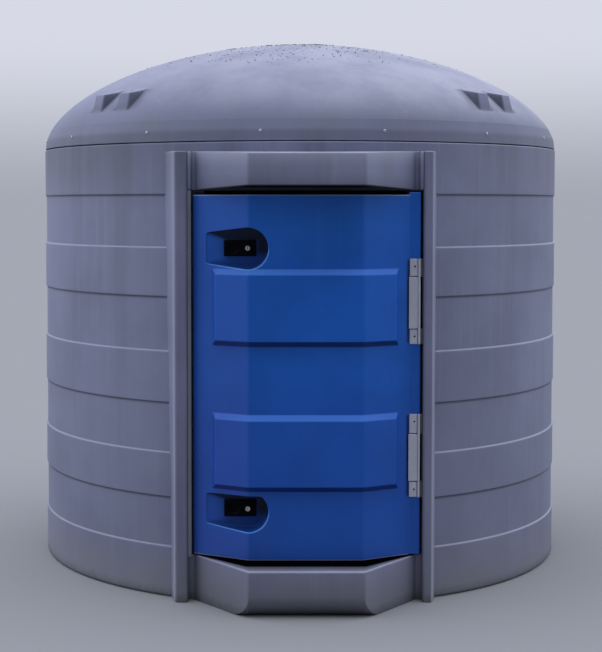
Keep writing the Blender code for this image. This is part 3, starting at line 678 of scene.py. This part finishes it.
def outer_wall(material):
    """The banded wall turned all the way round, less the cells of the doorway, slightly uneven as moulded."""
    profile = wall_profile()
    cut = math.asin((POST_INNER + POST_OUTER) / 2 / TANK_RADIUS)
    doorway = np.linspace(-cut, cut, 41)
    rest = np.linspace(cut, 2 * math.pi - cut, WALL_COLUMNS + 1)[1:-1]
    bearing = np.concatenate([doorway, rest])[None]
    radius, height = profile.T[:, :, None]
    uneven = np.sin(3 * bearing + 1.7 * height) + np.sin(7 * bearing - 2.9 * height + 1.3)
    radius = radius + WALL_UNEVENNESS * uneven * np.sin(math.pi * ramp(height, WALL_TOP))
    # Painted shadow under each ledge where a proud band overhangs, and a painted highlight on each ledge that
    # looks up.
    painted_light = LEDGE_PAINTED_SHADOW * sum(bell(height - edge + 0.002, 0.0035) for edge in BAND_EDGES[0::2])
    painted_light -= LEDGE_PAINTED_HIGHLIGHT * sum(bell(height - edge + 0.001, 0.0030) for edge in BAND_EDGES[1::2])
    across = (np.arange(bearing.size) < doorway.size - 1)[None]
    below = np.maximum(height[:-1], height[1:]) < DOORWAY_TOP + WELD
    skin = Skin()
    skin.add(radius * np.sin(bearing), -radius * np.cos(bearing), height, painted_light, wrap=True, flip=True,
             keep=~(across & below))
    walls = [f"outer_wall_{number:02d}" for number in range(1, 12)] + ["wall_over_door"]
    skin.build("outer_wall", material, replaces=walls, thickness=WALL_THICKNESS)


def dome_height(radius):
    """The dome's height at this distance from the axis."""
    turn = np.arccos(np.clip(radius / ROOF_SPAN, 0, 1) ** (PLAN_POWER / 2))
    return ROOF_BOTTOM + (ROOF_APEX - ROOF_BOTTOM) * np.sin(turn) ** (2 / RISE_POWER)


def lug_height(radius, across):
    """Height of a lifting lug at a distance from the axis and across its middle: a near-level top whose
    edges round over into steep sides and a sloped outer face."""
    fall = (LUG_TOP_OUTER[1] - LUG_TOP_INNER[1]) / (LUG_TOP_OUTER[0] - LUG_TOP_INNER[0])
    top = LUG_TOP_INNER[1] + fall * (radius - LUG_TOP_INNER[0])
    side = np.maximum(np.abs(across) - LUG_HALF_WIDTH + LUG_ROUNDING, 0)
    face = np.maximum(radius - LUG_TOP_OUTER[0] + LUG_ROUNDING, 0)
    past = np.hypot(side, face)
    share = side ** 2 / np.maximum(past ** 2, 1e-12)
    steep = LUG_FACE_STEEPNESS + (LUG_SIDE_STEEPNESS - LUG_FACE_STEEPNESS) * share
    limit = steep / np.sqrt(1 + steep ** 2)
    reach = past / LUG_ROUNDING
    arc = 1 - np.sqrt(1 - np.minimum(reach, limit) ** 2)
    return top - LUG_ROUNDING * (arc + steep * np.maximum(reach - limit, 0))


def roof(material):
    """The dome and skirt turned all the way round, eight lifting lugs raised out of the dome."""
    middles = [sign * bearing for bearing in LUG_BEARINGS_DEG for sign in (1, -1)]
    middles += [180 - bearing for bearing in middles]
    lines = [np.arange(0, 360, 2.5)]
    for middle in middles:
        beside = stops(1.45, 0.09, 2.65)
        lines.append((middle + np.concatenate([-beside, np.linspace(-1.2, 1.2, 7), beside])) % 360)
    bearing = np.unique(np.round(np.concatenate(lines), 3))
    bearing = bearing[np.diff(bearing, append=bearing[0] + 360) > 0.03]
    bearing = np.radians(bearing)[None]

    span = np.linspace(1.1, 1.2, 400)
    crease = float(np.interp(-CREASE_HEIGHT, -dome_height(span), span))
    dome = stops(0.0, 0.012, 0.06, 0.045, 0.96, 0.02, 1.0, 0.004, 1.10, 0.0022, 1.146, 0.006, crease)
    skirt = rounded([(dome[-2], dome_height(dome[-2])), (crease, CREASE_HEIGHT), SKIRT_MIDDLE,
                     (SKIRT_RADIUS, ROOF_BOTTOM), (SKIRT_RADIUS - SEAM_DEPTH, ROOF_BOTTOM - 0.0004)],
                    [0, 0.006, 0.060, 0.003, 0], steps=5)[1:]
    radius = np.concatenate([dome[:-1], skirt[:, 0]])[:, None]
    height = np.concatenate([dome_height(dome[:-1]), skirt[:, 1]])[:, None]
    height = height + 0.0 * bearing
    on_dome = (radius < 1.150) & (radius > 0.95) & (height > 1.96)
    painted_light = np.zeros_like(height)
    for middle in middles:
        turn = (bearing - math.radians(middle) + math.pi) % (2 * math.pi) - math.pi
        near = np.abs(turn) < math.radians(4)
        lug = lug_height(radius, radius * turn)
        raised = np.where(on_dome & near, soft_max(height, lug, 0.008), height)
        # Painted shade in the fillet round each lug's foot and beside its sides.
        foot = ramp(raised - height, 0.010) * (1 - ramp(raised - height, 0.030))
        beside = bell(np.abs(radius * turn) - LUG_HALF_WIDTH - 0.005, 0.009)
        along = on_dome & near & (lug_height(radius, 0.0) > height)
        painted_light = np.maximum(painted_light, np.maximum(0.35 * foot, LUG_PAINTED_SHADE * beside * along))
        height = raised
    skin = Skin()
    skin.add(radius * np.sin(bearing), -radius * np.cos(bearing), height, painted_light, wrap=True, flip=True)
    skin.build("roof_dome", material, thickness=WALL_THICKNESS)


def posts(material):
    """The two posts beside the doorway, each with a flank that slopes back into the wall."""
    for side, name in ((-1, "left"), (1, "right")):
        face_end, flank_end, rounding, taper = POST_FLANKS[name]
        corners = [(POST_INNER, POST_BACK), (POST_INNER, POST_FRONT), (face_end, POST_FRONT),
                   (flank_end, FLANK_BACK), (flank_end, POST_BACK)]
        radii = [0.002, POST_INNER_ROUNDING, rounding, 0.004, 0.002]
        outline = rounded(corners, radii, steps=8, closed=True)
        shape = outline if side > 0 else outline[::-1] * (-1, 1)
        # A painted highlight along the post's outer rounded edge, and painted shade over the rest of the left
        # post.
        lightened_edge = 0.5 * bell(np.abs(shape[:, 0]) - face_end - 0.3 * rounding, 0.005)

        def narrowed(x, y, z):
            share = ramp(np.abs(x) - face_end, flank_end - face_end)
            return x - side * taper * share * (1 - z / POST_TOP), y, z

        skin = Skin()
        shade_and_highlight = POST_PAINTED_SHADE[name] * (lightened_edge < 0.05) - lightened_edge
        skin.prism(shape, 0.0, POST_TOP, edge=EDGE_ROUNDING, foot=0.003, place=narrowed, painted_light=shade_and_highlight)
        skin.build(f"doorway_post_{name}", material)


def facet(x, front, half_flat, end):
    """A three-facet front: flat across the middle and sloping back on both sides to an end (x, y)."""
    slope = (end[1] - front) / (end[0] - half_flat)
    return front + slope * bend(np.abs(x) - half_flat, FACET_BLEND)


def section_piece(name, material, x, rows):
    """A closed section that changes along X, with both ends filled; rows are (depths, heights, grime)."""
    shape = [np.broadcast_arrays(x[None], *row)[1:] for row in rows]
    ys, zs, painted_light = (np.concatenate(parts + parts[:1]) for parts in map(list, zip(*shape)))
    skin = Skin()
    first = skin.add(x[None], ys, zs, painted_light)
    index = first + np.arange(ys.size).reshape(ys.shape)
    skin.faces.append(index[:-1, 0].tolist())
    skin.faces.append(index[-2::-1, -1].tolist())
    skin.build(name, material)


def mirrored(x, *values):
    """Stations from the middle to the right, repeated to the left, with the values at each."""
    return [np.concatenate([-x[:0:-1], x])] + [np.concatenate([v[:0:-1], v]) for v in values]


def lintel(material):
    """The lintel: three facets between two strips in front of the jambs, its top falling to the front and
    its low edge rising along the side facets."""
    end = POST_INNER - SEAT_GAP
    x = stops(0.0, 0.030, 0.200, 0.002, 0.256, 0.030, LINTEL_END[0])
    front = facet(x, LINTEL_FRONT, LINTEL_HALF_FLAT, LINTEL_END)
    strip = [(STRIP_INNER - 0.003, LINTEL_END[1]), (STRIP_INNER - 0.001, STRIP_FRONT + 0.006),
             (STRIP_INNER + 0.002, STRIP_FRONT), (end - 0.002, STRIP_FRONT), (end, STRIP_FRONT + 0.003)]
    x = np.append(x, [point[0] for point in strip])
    front = np.append(front, [point[1] for point in strip])
    x, front = mirrored(x, front)
    back = -np.sqrt((TANK_RADIUS - 0.004) ** 2 - x ** 2)
    rise = ramp(LINTEL_END[0] - np.abs(x), LINTEL_END[0] - LINTEL_HALF_FLAT)
    low = LINTEL_LOW + (LINTEL_LOW_FRONT - LINTEL_LOW) * rise

    def top(depth):
        share = ramp(LINTEL_END[1] - depth, LINTEL_END[1] - LINTEL_FRONT)
        return POST_TOP + share * (LINTEL_TOP_FRONT - POST_TOP)

    edge = np.minimum(EDGE_ROUNDING, (back - front) / 3)
    inward, fall = front + edge * (1 - np.sin(QUARTER)), edge * (1 - np.cos(QUARTER))
    # The last value of each row paints light: painted shade on the lintel's underside and face, a painted
    # highlight on its top.
    rows = [(back[None], low[None], 1.0),
            (inward, low + fall, 1 - (1 - LINTEL_PAINTED_SHADE) * np.sin(QUARTER) ** 4),
            (inward[::-1], (top(inward) - fall)[::-1], -LINTEL_EDGE_HIGHLIGHT * np.cos(QUARTER) ** 2),
            (back[None], top(back)[None], 0.0)]
    section_piece("lintel", material, x, rows)


def threshold(material):
    """The threshold: three facets, the middle rounded under at the toe, and a gutter behind its lip."""
    x = stops(0.0, 0.030, 0.200, 0.002, 0.256, 0.012, GUTTER_END[0] - 0.002, 0.0025, THRESHOLD_END[0],
              0.006, POST_INNER - SEAT_GAP)
    front = np.minimum(facet(x, THRESHOLD_FRONT, THRESHOLD_HALF_FLAT, THRESHOLD_END), THRESHOLD_END[1])
    gutter = np.minimum(facet(x, GUTTER_FRONT, GUTTER_HALF_FLAT, GUTTER_END), GUTTER_BACK - 0.02)
    depth = (THRESHOLD_TOP - GUTTER_FLOOR) * (x < GUTTER_END[0])
    x, front, gutter, depth = mirrored(x, front, gutter, depth)
    toe_y, toe_z = THRESHOLD_FRONT + TOE_RADIUS, TOE_RADIUS
    sweep = np.linspace(0, math.pi / 2, 13)[:, None]
    toe = np.maximum(toe_y - TOE_RADIUS * np.sin(sweep), front)
    under = toe_z - np.sqrt(np.maximum(TOE_RADIUS ** 2 - np.minimum(toe - toe_y, 0) ** 2, 0))
    inset, fall = 1 - np.sin(QUARTER), 1 - np.cos(QUARTER)
    low = np.minimum(LIP_ROUNDING, depth)
    # Painted shade on the toe, which curves under, heavier on the middle facet, which faces the front.
    facing_front_share = np.where(np.abs(x) < THRESHOLD_HALF_FLAT, 1.25, 0.65)
    toe_shade = TOE_PAINTED_SHADE * facing_front_share * ramp(TOE_SHADE_HEIGHT - under, TOE_SHADE_HEIGHT) ** 1.5
    lightened_edge = -THRESHOLD_EDGE_HIGHLIGHT * np.sin(2 * QUARTER[::-1])
    lip_middle = np.minimum(front + 0.030, (front + gutter) / 2)[None]
    gutter_floor = THRESHOLD_TOP - depth[None]
    # The last value of each row paints light: painted shade on the toe, the lip's top and in the gutter, a
    # painted highlight on the lip's front edge.
    rows = [(POST_BACK, 0.0, 1.0),
            (toe, under, toe_shade),
            ((front + EDGE_ROUNDING * inset)[::-1], (THRESHOLD_TOP - EDGE_ROUNDING * fall)[::-1], lightened_edge),
            (lip_middle, THRESHOLD_TOP, 0.6),
            (gutter - LIP_ROUNDING * inset, THRESHOLD_TOP - low * fall, 0.95),
            (gutter[None] + 0.006, gutter_floor, 1.0),
            (GUTTER_BACK - 0.003, gutter_floor, 1.0),
            (GUTTER_BACK, THRESHOLD_TOP, 0.9),
            (POST_BACK, THRESHOLD_TOP, 0.9)]
    section_piece("threshold", material, x, rows)


def left_cabinet_side(material):
    """The cabinet's left side, whose front edge is the jamb strip beside the door."""
    corners = rectangle(-POST_INNER + SEAT_GAP, -STRIP_INNER, STRIP_FRONT, CABINET_BACK)
    skin = Skin()
    skin.prism(rounded(corners, [0.003, 0.003, 0, 0], closed=True), THRESHOLD_TOP, LINTEL_LOW, edge=0.001)
    skin.build("cabinet_side_left", material, "tank")


def door_front(x, z):
    """Depth of the door's face: three facets, with two bands raised towards the front."""
    share = 0.0
    for low, high in RAISED_BANDS:
        inside = np.minimum(np.minimum(z - low, high - z), 2 * (RAISED_HALF_WIDTH - np.abs(x)))
        share = np.maximum(share, soft_step(inside - RAISED_BLEND, RAISED_SLOPE, RAISED_BLEND))
    return facet(x, DOOR_FRONT, DOOR_HALF_FLAT, DOOR_END) - RAISED_DEPTH * share


def recess_reach(bearing, cut):
    """Distance from a recess's centre to its wall, by direction: an arc on the right, tapering straight
    sides, a flat left end and, for the lower recess, a flat top."""
    last = math.pi / 2 + math.radians(RECESS_TAPER_DEG)
    tiny = 1e-3
    side = RECESS_RADIUS / np.maximum(np.cos(np.abs(bearing) - last), tiny)
    reach = np.where(np.abs(bearing) < last, RECESS_RADIUS, side)
    left = (RECESS_X - RECESS_LEFT) / np.maximum(-np.cos(bearing), tiny)
    top = cut / np.maximum(np.sin(bearing), tiny)
    sharpness = 28
    return (reach ** -sharpness + left ** -sharpness + top ** -sharpness) ** (-1 / sharpness)


def recess_floor(x):
    """Depth of a recess's floor: level behind the latch and falling back to its left end."""
    share = ramp(LATCH_LEFT - x, LATCH_LEFT - RECESS_LEFT)
    return RECESS_FLOOR + RECESS_FALL * share ** 2 * (3 - 2 * share)


def recess_shadow(x, up):
    """Painted shade in a recess: above the latch, thinning to the left, down its right end and on its lower
    wall.
    """
    left = ramp(x - RECESS_LEFT, 0.075)
    above = ramp(up - 0.046 + 0.022 * left, 0.012)
    right = ramp(x - RECESS_X - 0.030, 0.016) * ramp(up + 0.050, 0.040)
    below = 0.15 + 0.25 * ramp(-0.045 - up, 0.012)
    return np.maximum(np.maximum(above, right), below)


def recess_patch(skin, name, xs, zs):
    """Fills a window in the door's face with a latch recess, ring by ring from the window's own grid
    points to the recess's rim, down its wall and across its floor."""
    centre, top = RECESSES[name]
    window = PATCHES[name]
    xs = xs[(xs > window[0] - WELD) & (xs < window[1] + WELD)]
    zs = zs[(zs > window[2] - WELD) & (zs < window[3] + WELD)]
    across, up = np.ones(len(xs) - 1), np.ones(len(zs) - 1)
    ring_x = np.concatenate([xs[:-1], xs[-1] * up, xs[:0:-1], xs[0] * up])
    ring_z = np.concatenate([zs[0] * across, zs[:-1], zs[-1] * across, zs[:0:-1]])
    bearing = np.arctan2(ring_z - centre, ring_x - RECESS_X)
    outer = np.hypot(ring_z - centre, ring_x - RECESS_X)
    wall = recess_reach(bearing, top - centre)

    def spot(reach):
        return RECESS_X + reach * np.cos(bearing), centre + reach * np.sin(bearing)

    def face(reach):
        return door_front(*spot(reach))

    def floor(reach):
        return recess_floor(spot(reach)[0])

    depth = np.maximum(floor(wall) - face(wall), 0)
    shrink = np.minimum(depth / (RECESS_RIM + RECESS_FILLET), 1)
    rim, fillet = RECESS_RIM * shrink, RECESS_FILLET * shrink
    out = np.linspace(0, 1, 15)[:-1, None]
    down = np.array([0.12, 0.5, 0.88])[:, None]
    to_middle = np.linspace(0, 1, 9)[1:, None]
    beside = outer + (wall + rim - outer) * out
    over = wall + rim * (1 - np.sin(QUARTER))
    foot = wall - fillet * (1 - np.cos(QUARTER))
    inner = (wall - fillet) * (1 - to_middle)
    reach = np.concatenate([beside, over, wall + 0 * down, foot, inner])
    head = face(wall) + rim
    y = np.concatenate([face(beside), face(over) + rim * (1 - np.cos(QUARTER)),
                        head + (floor(wall) - fillet - head) * down,
                        floor(foot) - fillet * (1 - np.sin(QUARTER)), floor(inner)])
    y = np.where(reach <= wall, np.maximum(y, face(wall)), y)
    x, z = spot(reach)
    # Painted shade inside the recess, and a painted highlight along the lower part of its rim.
    shade = np.where(reach <= wall, recess_shadow(x, z - centre) * shrink, 0.0)
    lightened_edge = np.clip(0.4 - 1.6 * np.sin(bearing), 0, 1) * shrink
    shade[len(beside):len(beside) + len(over) - 1] = -lightened_edge
    x[0], z[0] = ring_x, ring_z
    skin.add(x, y, z, shade, wrap=True)


def hinge_edge_shade(x, z):
    """Painted shade on the door's face along the hinges' edges."""
    within = sum(ramp(z - low, 0.01) * ramp(high - z, 0.01) for low, _, _, high in HINGES.values())
    return bell(x - PAD_INNER + 0.0030, 0.0042) * within


def door(material):
    """The door: its faceted face with two latch recesses, a hinge flange and a raised field on its back."""
    left, right, upper_foot, upper_head = PATCHES["upper"]
    _, _, lower_foot, lower_head = PATCHES["lower"]
    fold, raised = DOOR_HALF_FLAT, RAISED_HALF_WIDTH
    xs = stops(DOOR_LEFT + DOOR_EDGE, 0.008, left, 0.0035, right, 0.012, fold - 0.0115, 0.0022,
               fold + 0.0235, 0.012, raised - 0.016, 0.0022, raised + 0.004, 0.008, PAD_INNER - 0.0087,
               0.0015, PAD_INNER + 0.0053, 0.008, DOOR_END[0] - DOOR_EDGE)
    (upper_low, upper_high), (lower_low, lower_high) = RAISED_BANDS
    slope = RAISED_SLOPE + 3 * RAISED_BLEND
    zs = stops(DOOR_LOW + DOOR_EDGE, 0.010, lower_foot, 0.0045, lower_head, 0.002, lower_low + slope, 0.012,
               lower_high - slope, 0.002, lower_high, 0.012, upper_low, 0.002, upper_low + slope, 0.012,
               upper_foot, 0.0022, upper_high + 0.004, 0.0045, upper_head, 0.012, DOOR_TOP - DOOR_EDGE)
    skin = Skin()
    # The face carries painted shade along the hinges' edges.
    skin.block(xs, zs, door_front, DOOR_BACK, DOOR_EDGE, holes=PATCHES.values(), painted_light=hinge_edge_shade,
               left_draft=DOOR_LEFT_BACK - DOOR_LEFT)
    for name in RECESSES:
        recess_patch(skin, name, xs, zs)
    skin.build("door", material, "door")

    (left, front, low), (right, back, high) = FLANGE
    outline = rounded(rectangle(left, right, front, back), [0.003, 0.004, 0.002, 0.002], closed=True)
    lightened_edge = 0.35 * (outline[:, 0] < left + 0.003)
    skin = Skin()
    skin.prism(outline, low, high, edge=0.004, foot=0.003, painted_light=-lightened_edge)
    field = rounded(rectangle(*BACK_FIELD), 0.030, steps=8, closed=True)
    skin.prism(field, 0.0, BACK_FIELD_HEIGHT + 0.002, edge=0.003,
               place=lambda a, b, c: (a, DOOR_BACK - 0.002 + c, b))
    skin.build("door_flange_and_back", material, "door")


def latches(black, chrome):
    """A latch block in each recess: a paddle with a finger hollow and a boss round its lock cylinder."""
    length, depth, height = LATCH_SIZE
    back = RECESS_FLOOR - SEAT_GAP
    xs = stops(LATCH_LEFT + LATCH_EDGE, 0.0015, LATCH_LEFT + length - LATCH_EDGE)
    hollow_width, hollow_height, hollow_depth = FINGER_HOLLOW
    for name, (centre, _) in RECESSES.items():
        def front(x, z):
            hollow = 1 - np.hypot((x - LATCH_X) / hollow_width + 1, (z - centre) / hollow_height)
            boss = 1 - np.hypot(x - RECESS_X, z - centre) / BOSS_RADIUS
            around = BOSS_HEIGHT * (1 - soft_step(boss, 0.12, 0.03))
            return back - depth + around + hollow_depth * soft_step(hollow, 0.30, 0.10)

        zs = stops(centre - height / 2 + LATCH_EDGE, 0.0015, centre + height / 2 - LATCH_EDGE)
        skin = Skin()
        skin.block(xs, zs, front, back, LATCH_EDGE)
        skin.build(f"latch_{name}", black, "door")

        skin = Skin()
        rim = [(0, 0), (LOCK_RADIUS, 0), (LOCK_RADIUS, LOCK_LENGTH), (LOCK_RADIUS - 0.0022, LOCK_LENGTH),
               (LOCK_RADIUS - 0.0026, LOCK_LENGTH - 0.0006), (0, LOCK_LENGTH - 0.0006)]
        place = facing_front_at(RECESS_X, back - depth, centre)
        skin.turn(rounded(rim, [0, 0, 0.0006, 0.0003, 0, 0]), place, columns=40)
        skin.build(f"lock_cylinder_{name}", chrome, "door")
        # The keyway is a black slab on the lock's face, painted shade for its slot.
        skin = Skin()
        slot = rounded(rectangle(*KEYWAY), 0.0004, closed=True)
        skin.prism(slot, LOCK_LENGTH - 0.0008, LOCK_LENGTH - 0.0003, edge=0.0001, foot=0.0, place=place)
        skin.build(f"keyway_{name}", black, "door")


def screw_head(skin, radius, place):
    """A pan screw head with a round socket."""
    head = [(0, 0), (0.98, 0), (1.0, 0.25), (0.80, 0.52), (0.42, 0.62)]
    profile = np.array(head + [(0.36, 0.60), (0.30, 0.15), (0, 0.12)])
    radii = np.array([0, 0, 0.15, 0.3, 0.05, 0, 0, 0])
    skin.turn(rounded(profile * radius, radii * radius), place, columns=20)


def hinges(steel, dark):
    """Two hinges: plates and a raised pad on the door's flange, and a leaf on the post's inner side."""
    axis_x, axis_y = HINGE_AXIS
    flange = FLANGE[0][1] - SEAT_GAP
    plate = flange - LEAF_THICKNESS
    leaf, pad = (LEAF_INNER, LEAF_OUTER), (PAD_INNER, PAD_OUTER)
    (left, front), (right, back) = FRAME_LEAF
    dark_screws_and_shade_bars = Skin()

    def bar(skin, xs, ys, low, high, edge=0.0009, painted_light=0.0):
        side = min(edge, (xs[1] - xs[0]) / 3, (ys[1] - ys[0]) / 3)
        outline = rounded(rectangle(*xs, *ys), side, steps=3, closed=True)
        skin.prism(outline, low, high, edge=side, foot=side, steps=3, painted_light=painted_light)

    def barrel(skin, low, high):
        profile = rounded([(0, low), (KNUCKLE_RADIUS, low), (KNUCKLE_RADIUS, high), (0, high)],
                          [0, 0.0008, 0.0008, 0])
        skin.turn(profile, lambda a, b, c: (axis_x + a, axis_y + b, c), columns=28)

    for name, (low, middle_low, middle_high, high) in HINGES.items():
        skin = Skin()
        bar(skin, leaf, (plate, flange), low, middle_low - LEAF_BREAK, LEAF_EDGE)
        bar(skin, leaf, (plate, flange), middle_high + LEAF_BREAK, high, LEAF_EDGE)
        bar(skin, pad, (plate - PAD_EXTRA, flange), middle_low, middle_high, LEAF_EDGE)
        bar(skin, (PAD_OUTER - 0.001, axis_x), (axis_y - 0.001, axis_y + 0.002),
            middle_low + 0.001, middle_high - 0.001)
        barrel(skin, middle_low + 0.0005, middle_high - 0.0005)
        # Black bars in the breaks between the plates are painted shade, and the screw heads are black as
        # painted shade for their sockets.
        for foot in (middle_low - LEAF_BREAK, middle_high):
            bar(dark_screws_and_shade_bars, leaf, (plate + 0.002, flange), foot, foot + LEAF_BREAK, 0.0002)
        for height in (low + LEAF_SCREW_INSET, high - LEAF_SCREW_INSET):
            screw_head(dark_screws_and_shade_bars, LEAF_SCREW_RADIUS, facing_front_at(LEAF_SCREW_X, plate, height))
        skin.build(f"hinge_{name}_door_leaf", steel, "door")
        skin = Skin()
        # The frame leaf and its links carry full painted shade, which turns them near black.
        bar(skin, (left, right), (front, back), low, high, painted_light=1.0)
        for end_low, end_high in ((low, middle_low), (middle_high, high)):
            bar(skin, (axis_x, left + 0.001), (axis_y + 0.003, axis_y + 0.0055), end_low, end_high, painted_light=1.0)
            barrel(skin, end_low, end_high)
        skin.build(f"hinge_{name}_frame_leaf", steel, "tank")
    dark_screws_and_shade_bars.build("hinge_screws_and_shade_bars", dark, "door")


def skirt_screws(material):
    """Pale pan-head screws through the roof's skirt into the wall, evenly spaced all round."""
    height = SKIRT_MIDDLE[1] - 0.004
    radius = SKIRT_MIDDLE[0] + 0.0004
    skin = Skin()
    for number in range(SKIRT_SCREWS):
        bearing = math.radians(SKIRT_SCREW_DEG + 360 / SKIRT_SCREWS * number)
        sine, cosine = math.sin(bearing), math.cos(bearing)

        def place(a, b, c):
            return (radius + c) * sine + a * cosine, -(radius + c) * cosine + a * sine, height + b

        screw_head(skin, SKIRT_SCREW_RADIUS, place)
    skin.build("skirt_screws", material, "tank")


def lying(radius, bearing, yaw, a, b):
    """X and y of the points (a, b) of a shape that lies at a place on the roof, turned by yaw."""
    return (radius * math.sin(bearing) + a * math.cos(yaw) - b * math.sin(yaw),
            -radius * math.cos(bearing) + a * math.sin(yaw) + b * math.cos(yaw))


def roof_litter(material):
    """Crumbs and short twigs lying on the top of the dome, most of them towards the front."""
    chance = np.random.default_rng(7)
    skin = Skin()
    tilt = np.linspace(0, math.pi, 6)[:, None]
    spin = np.linspace(0, 2 * math.pi, 8, endpoint=False)[None]
    for _ in range(CRUMBS):
        radius = 0.72 * chance.random() ** 0.75
        bearing = chance.uniform(-math.pi, math.pi)
        if chance.random() < 0.7:
            radius, bearing = 0.20 + 0.62 * chance.random(), chance.normal(0.0, 0.60)
        size = chance.uniform(0.0010, 0.0034)
        shape = size * np.array([1.0, chance.uniform(0.5, 1.0), chance.uniform(0.3, 0.6)])
        yaw = chance.uniform(0, math.pi)
        a, b = shape[0] * np.sin(tilt) * np.cos(spin), shape[1] * np.sin(tilt) * np.sin(spin)
        z = dome_height(radius) + shape[2] * (0.7 + np.cos(tilt))
        skin.add(*lying(radius, bearing, yaw, a, b), z, wrap=True)
    along = np.linspace(0, 1, 14)[:, None]
    for _ in range(TWIGS):
        radius, bearing, yaw = chance.uniform(0.25, 0.62), chance.normal(0.0, 0.9), chance.uniform(0, math.pi)
        length, thick = chance.uniform(0.025, 0.060), chance.uniform(0.0009, 0.0018)
        s = (along - 0.5) * length
        bow = 0.12 * length * np.sin(2.2 * along + yaw)
        girth = thick * np.sqrt(np.maximum(1 - (2 * along - 1) ** 6, 0)) * (1.15 - 0.5 * along)
        z = dome_height(np.hypot(*lying(radius, bearing, yaw, s, bow))) + thick + girth * np.sin(spin)
        skin.add(*lying(radius, bearing, yaw, s, bow + girth * np.cos(spin)), z, wrap=True)
    skin.build("roof_litter", material)


def studio_sky():
    """A soft sky, brightest overhead and dimmer towards the front, before a plain pale backdrop."""
    g = Graph(bpy.data.worlds.new("studio_sky"), shader="Background")
    height = g.z.most(0.0)
    front = g.step(0.0 - g.y, 0.0, 0.8) * (1.0 - height * height)
    side = g.x * g.x * (1.0 - height) * (SKY_SIDES - g.x * SKY_LEFT_EXTRA)
    light = (SKY_AT_HORIZON + height * SKY_RISE) * (1.0 - front * SKY_FRONT_DIMMING) * (side + 1.0)
    seen = g.node("ShaderNodeLightPath", {}, {}, "Is Camera Ray")
    backdrop = g.mix(g.step(g.z, 0.0, 0.12), BACKDROP_FOOT, BACKDROP)
    return g.finish(Color=g.mix(seen, SKY_TINT, backdrop), Strength=light + seen * (1.0 - light))


def studio():
    """Pale floor under a soft sky, and a camera at the photo's place."""
    scene = bpy.context.scene
    skin = Skin()
    line = np.linspace(-FLOOR_REACH, FLOOR_REACH, 3)
    skin.add(line[None], line[:, None], -FLOOR_DROP)
    mesh = bpy.data.meshes.new("studio_floor")
    mesh.from_pydata(np.concatenate(skin.points), [], skin.faces)
    mesh.materials.append(studio_floor())
    floor = bpy.data.objects.new("studio_floor", mesh)
    scene.collection.objects.link(floor)
    scene.world = studio_sky()

    camera = bpy.data.cameras.new("camera")
    camera.sensor_width = 36.0
    camera.lens = LENS_PX * camera.sensor_width / PICTURE_PX[1]
    camera.shift_x = (PICTURE_PX[0] / 2 - PRINCIPAL_PX[0]) / PICTURE_PX[1]
    camera.shift_y = (PRINCIPAL_PX[1] - PICTURE_PX[1] / 2 + LENS_PX * math.tan(PITCH)) / PICTURE_PX[1]
    viewer = bpy.data.objects.new("camera", camera)
    viewer.location = VIEWPOINT
    viewer.rotation_euler = (math.pi / 2 - PITCH, 0, 0)
    scene.collection.objects.link(viewer)
    scene.camera = viewer
    scene.view_settings.view_transform = "Standard"


def dress_cad(materials):
    """Gives the CAD nodes that stay in view the finished materials of their slots."""
    for part in frame["record"]["subparts"]:
        node = frame["nodes"][part["node"]]
        if node.hide_render:
            continue
        node.data.materials.clear()
        node.data.materials.append(materials[part["material_slot"]])


MATERIALS = {make.__name__: make() for make in (moulded_grey, door_blue, inner_wall_grey, hinge_steel,
                                                latch_black, lock_chrome)}
for make in (outer_wall, roof, posts, lintel, threshold):
    make(MATERIALS["moulded_grey"])
left_cabinet_side(MATERIALS["inner_wall_grey"])
door(MATERIALS["door_blue"])
latches(MATERIALS["latch_black"], MATERIALS["lock_chrome"])
hinges(MATERIALS["hinge_steel"], MATERIALS["latch_black"])
skirt_screws(MATERIALS["hinge_steel"])
roof_litter(leaf_litter())
dress_cad(MATERIALS)
studio()
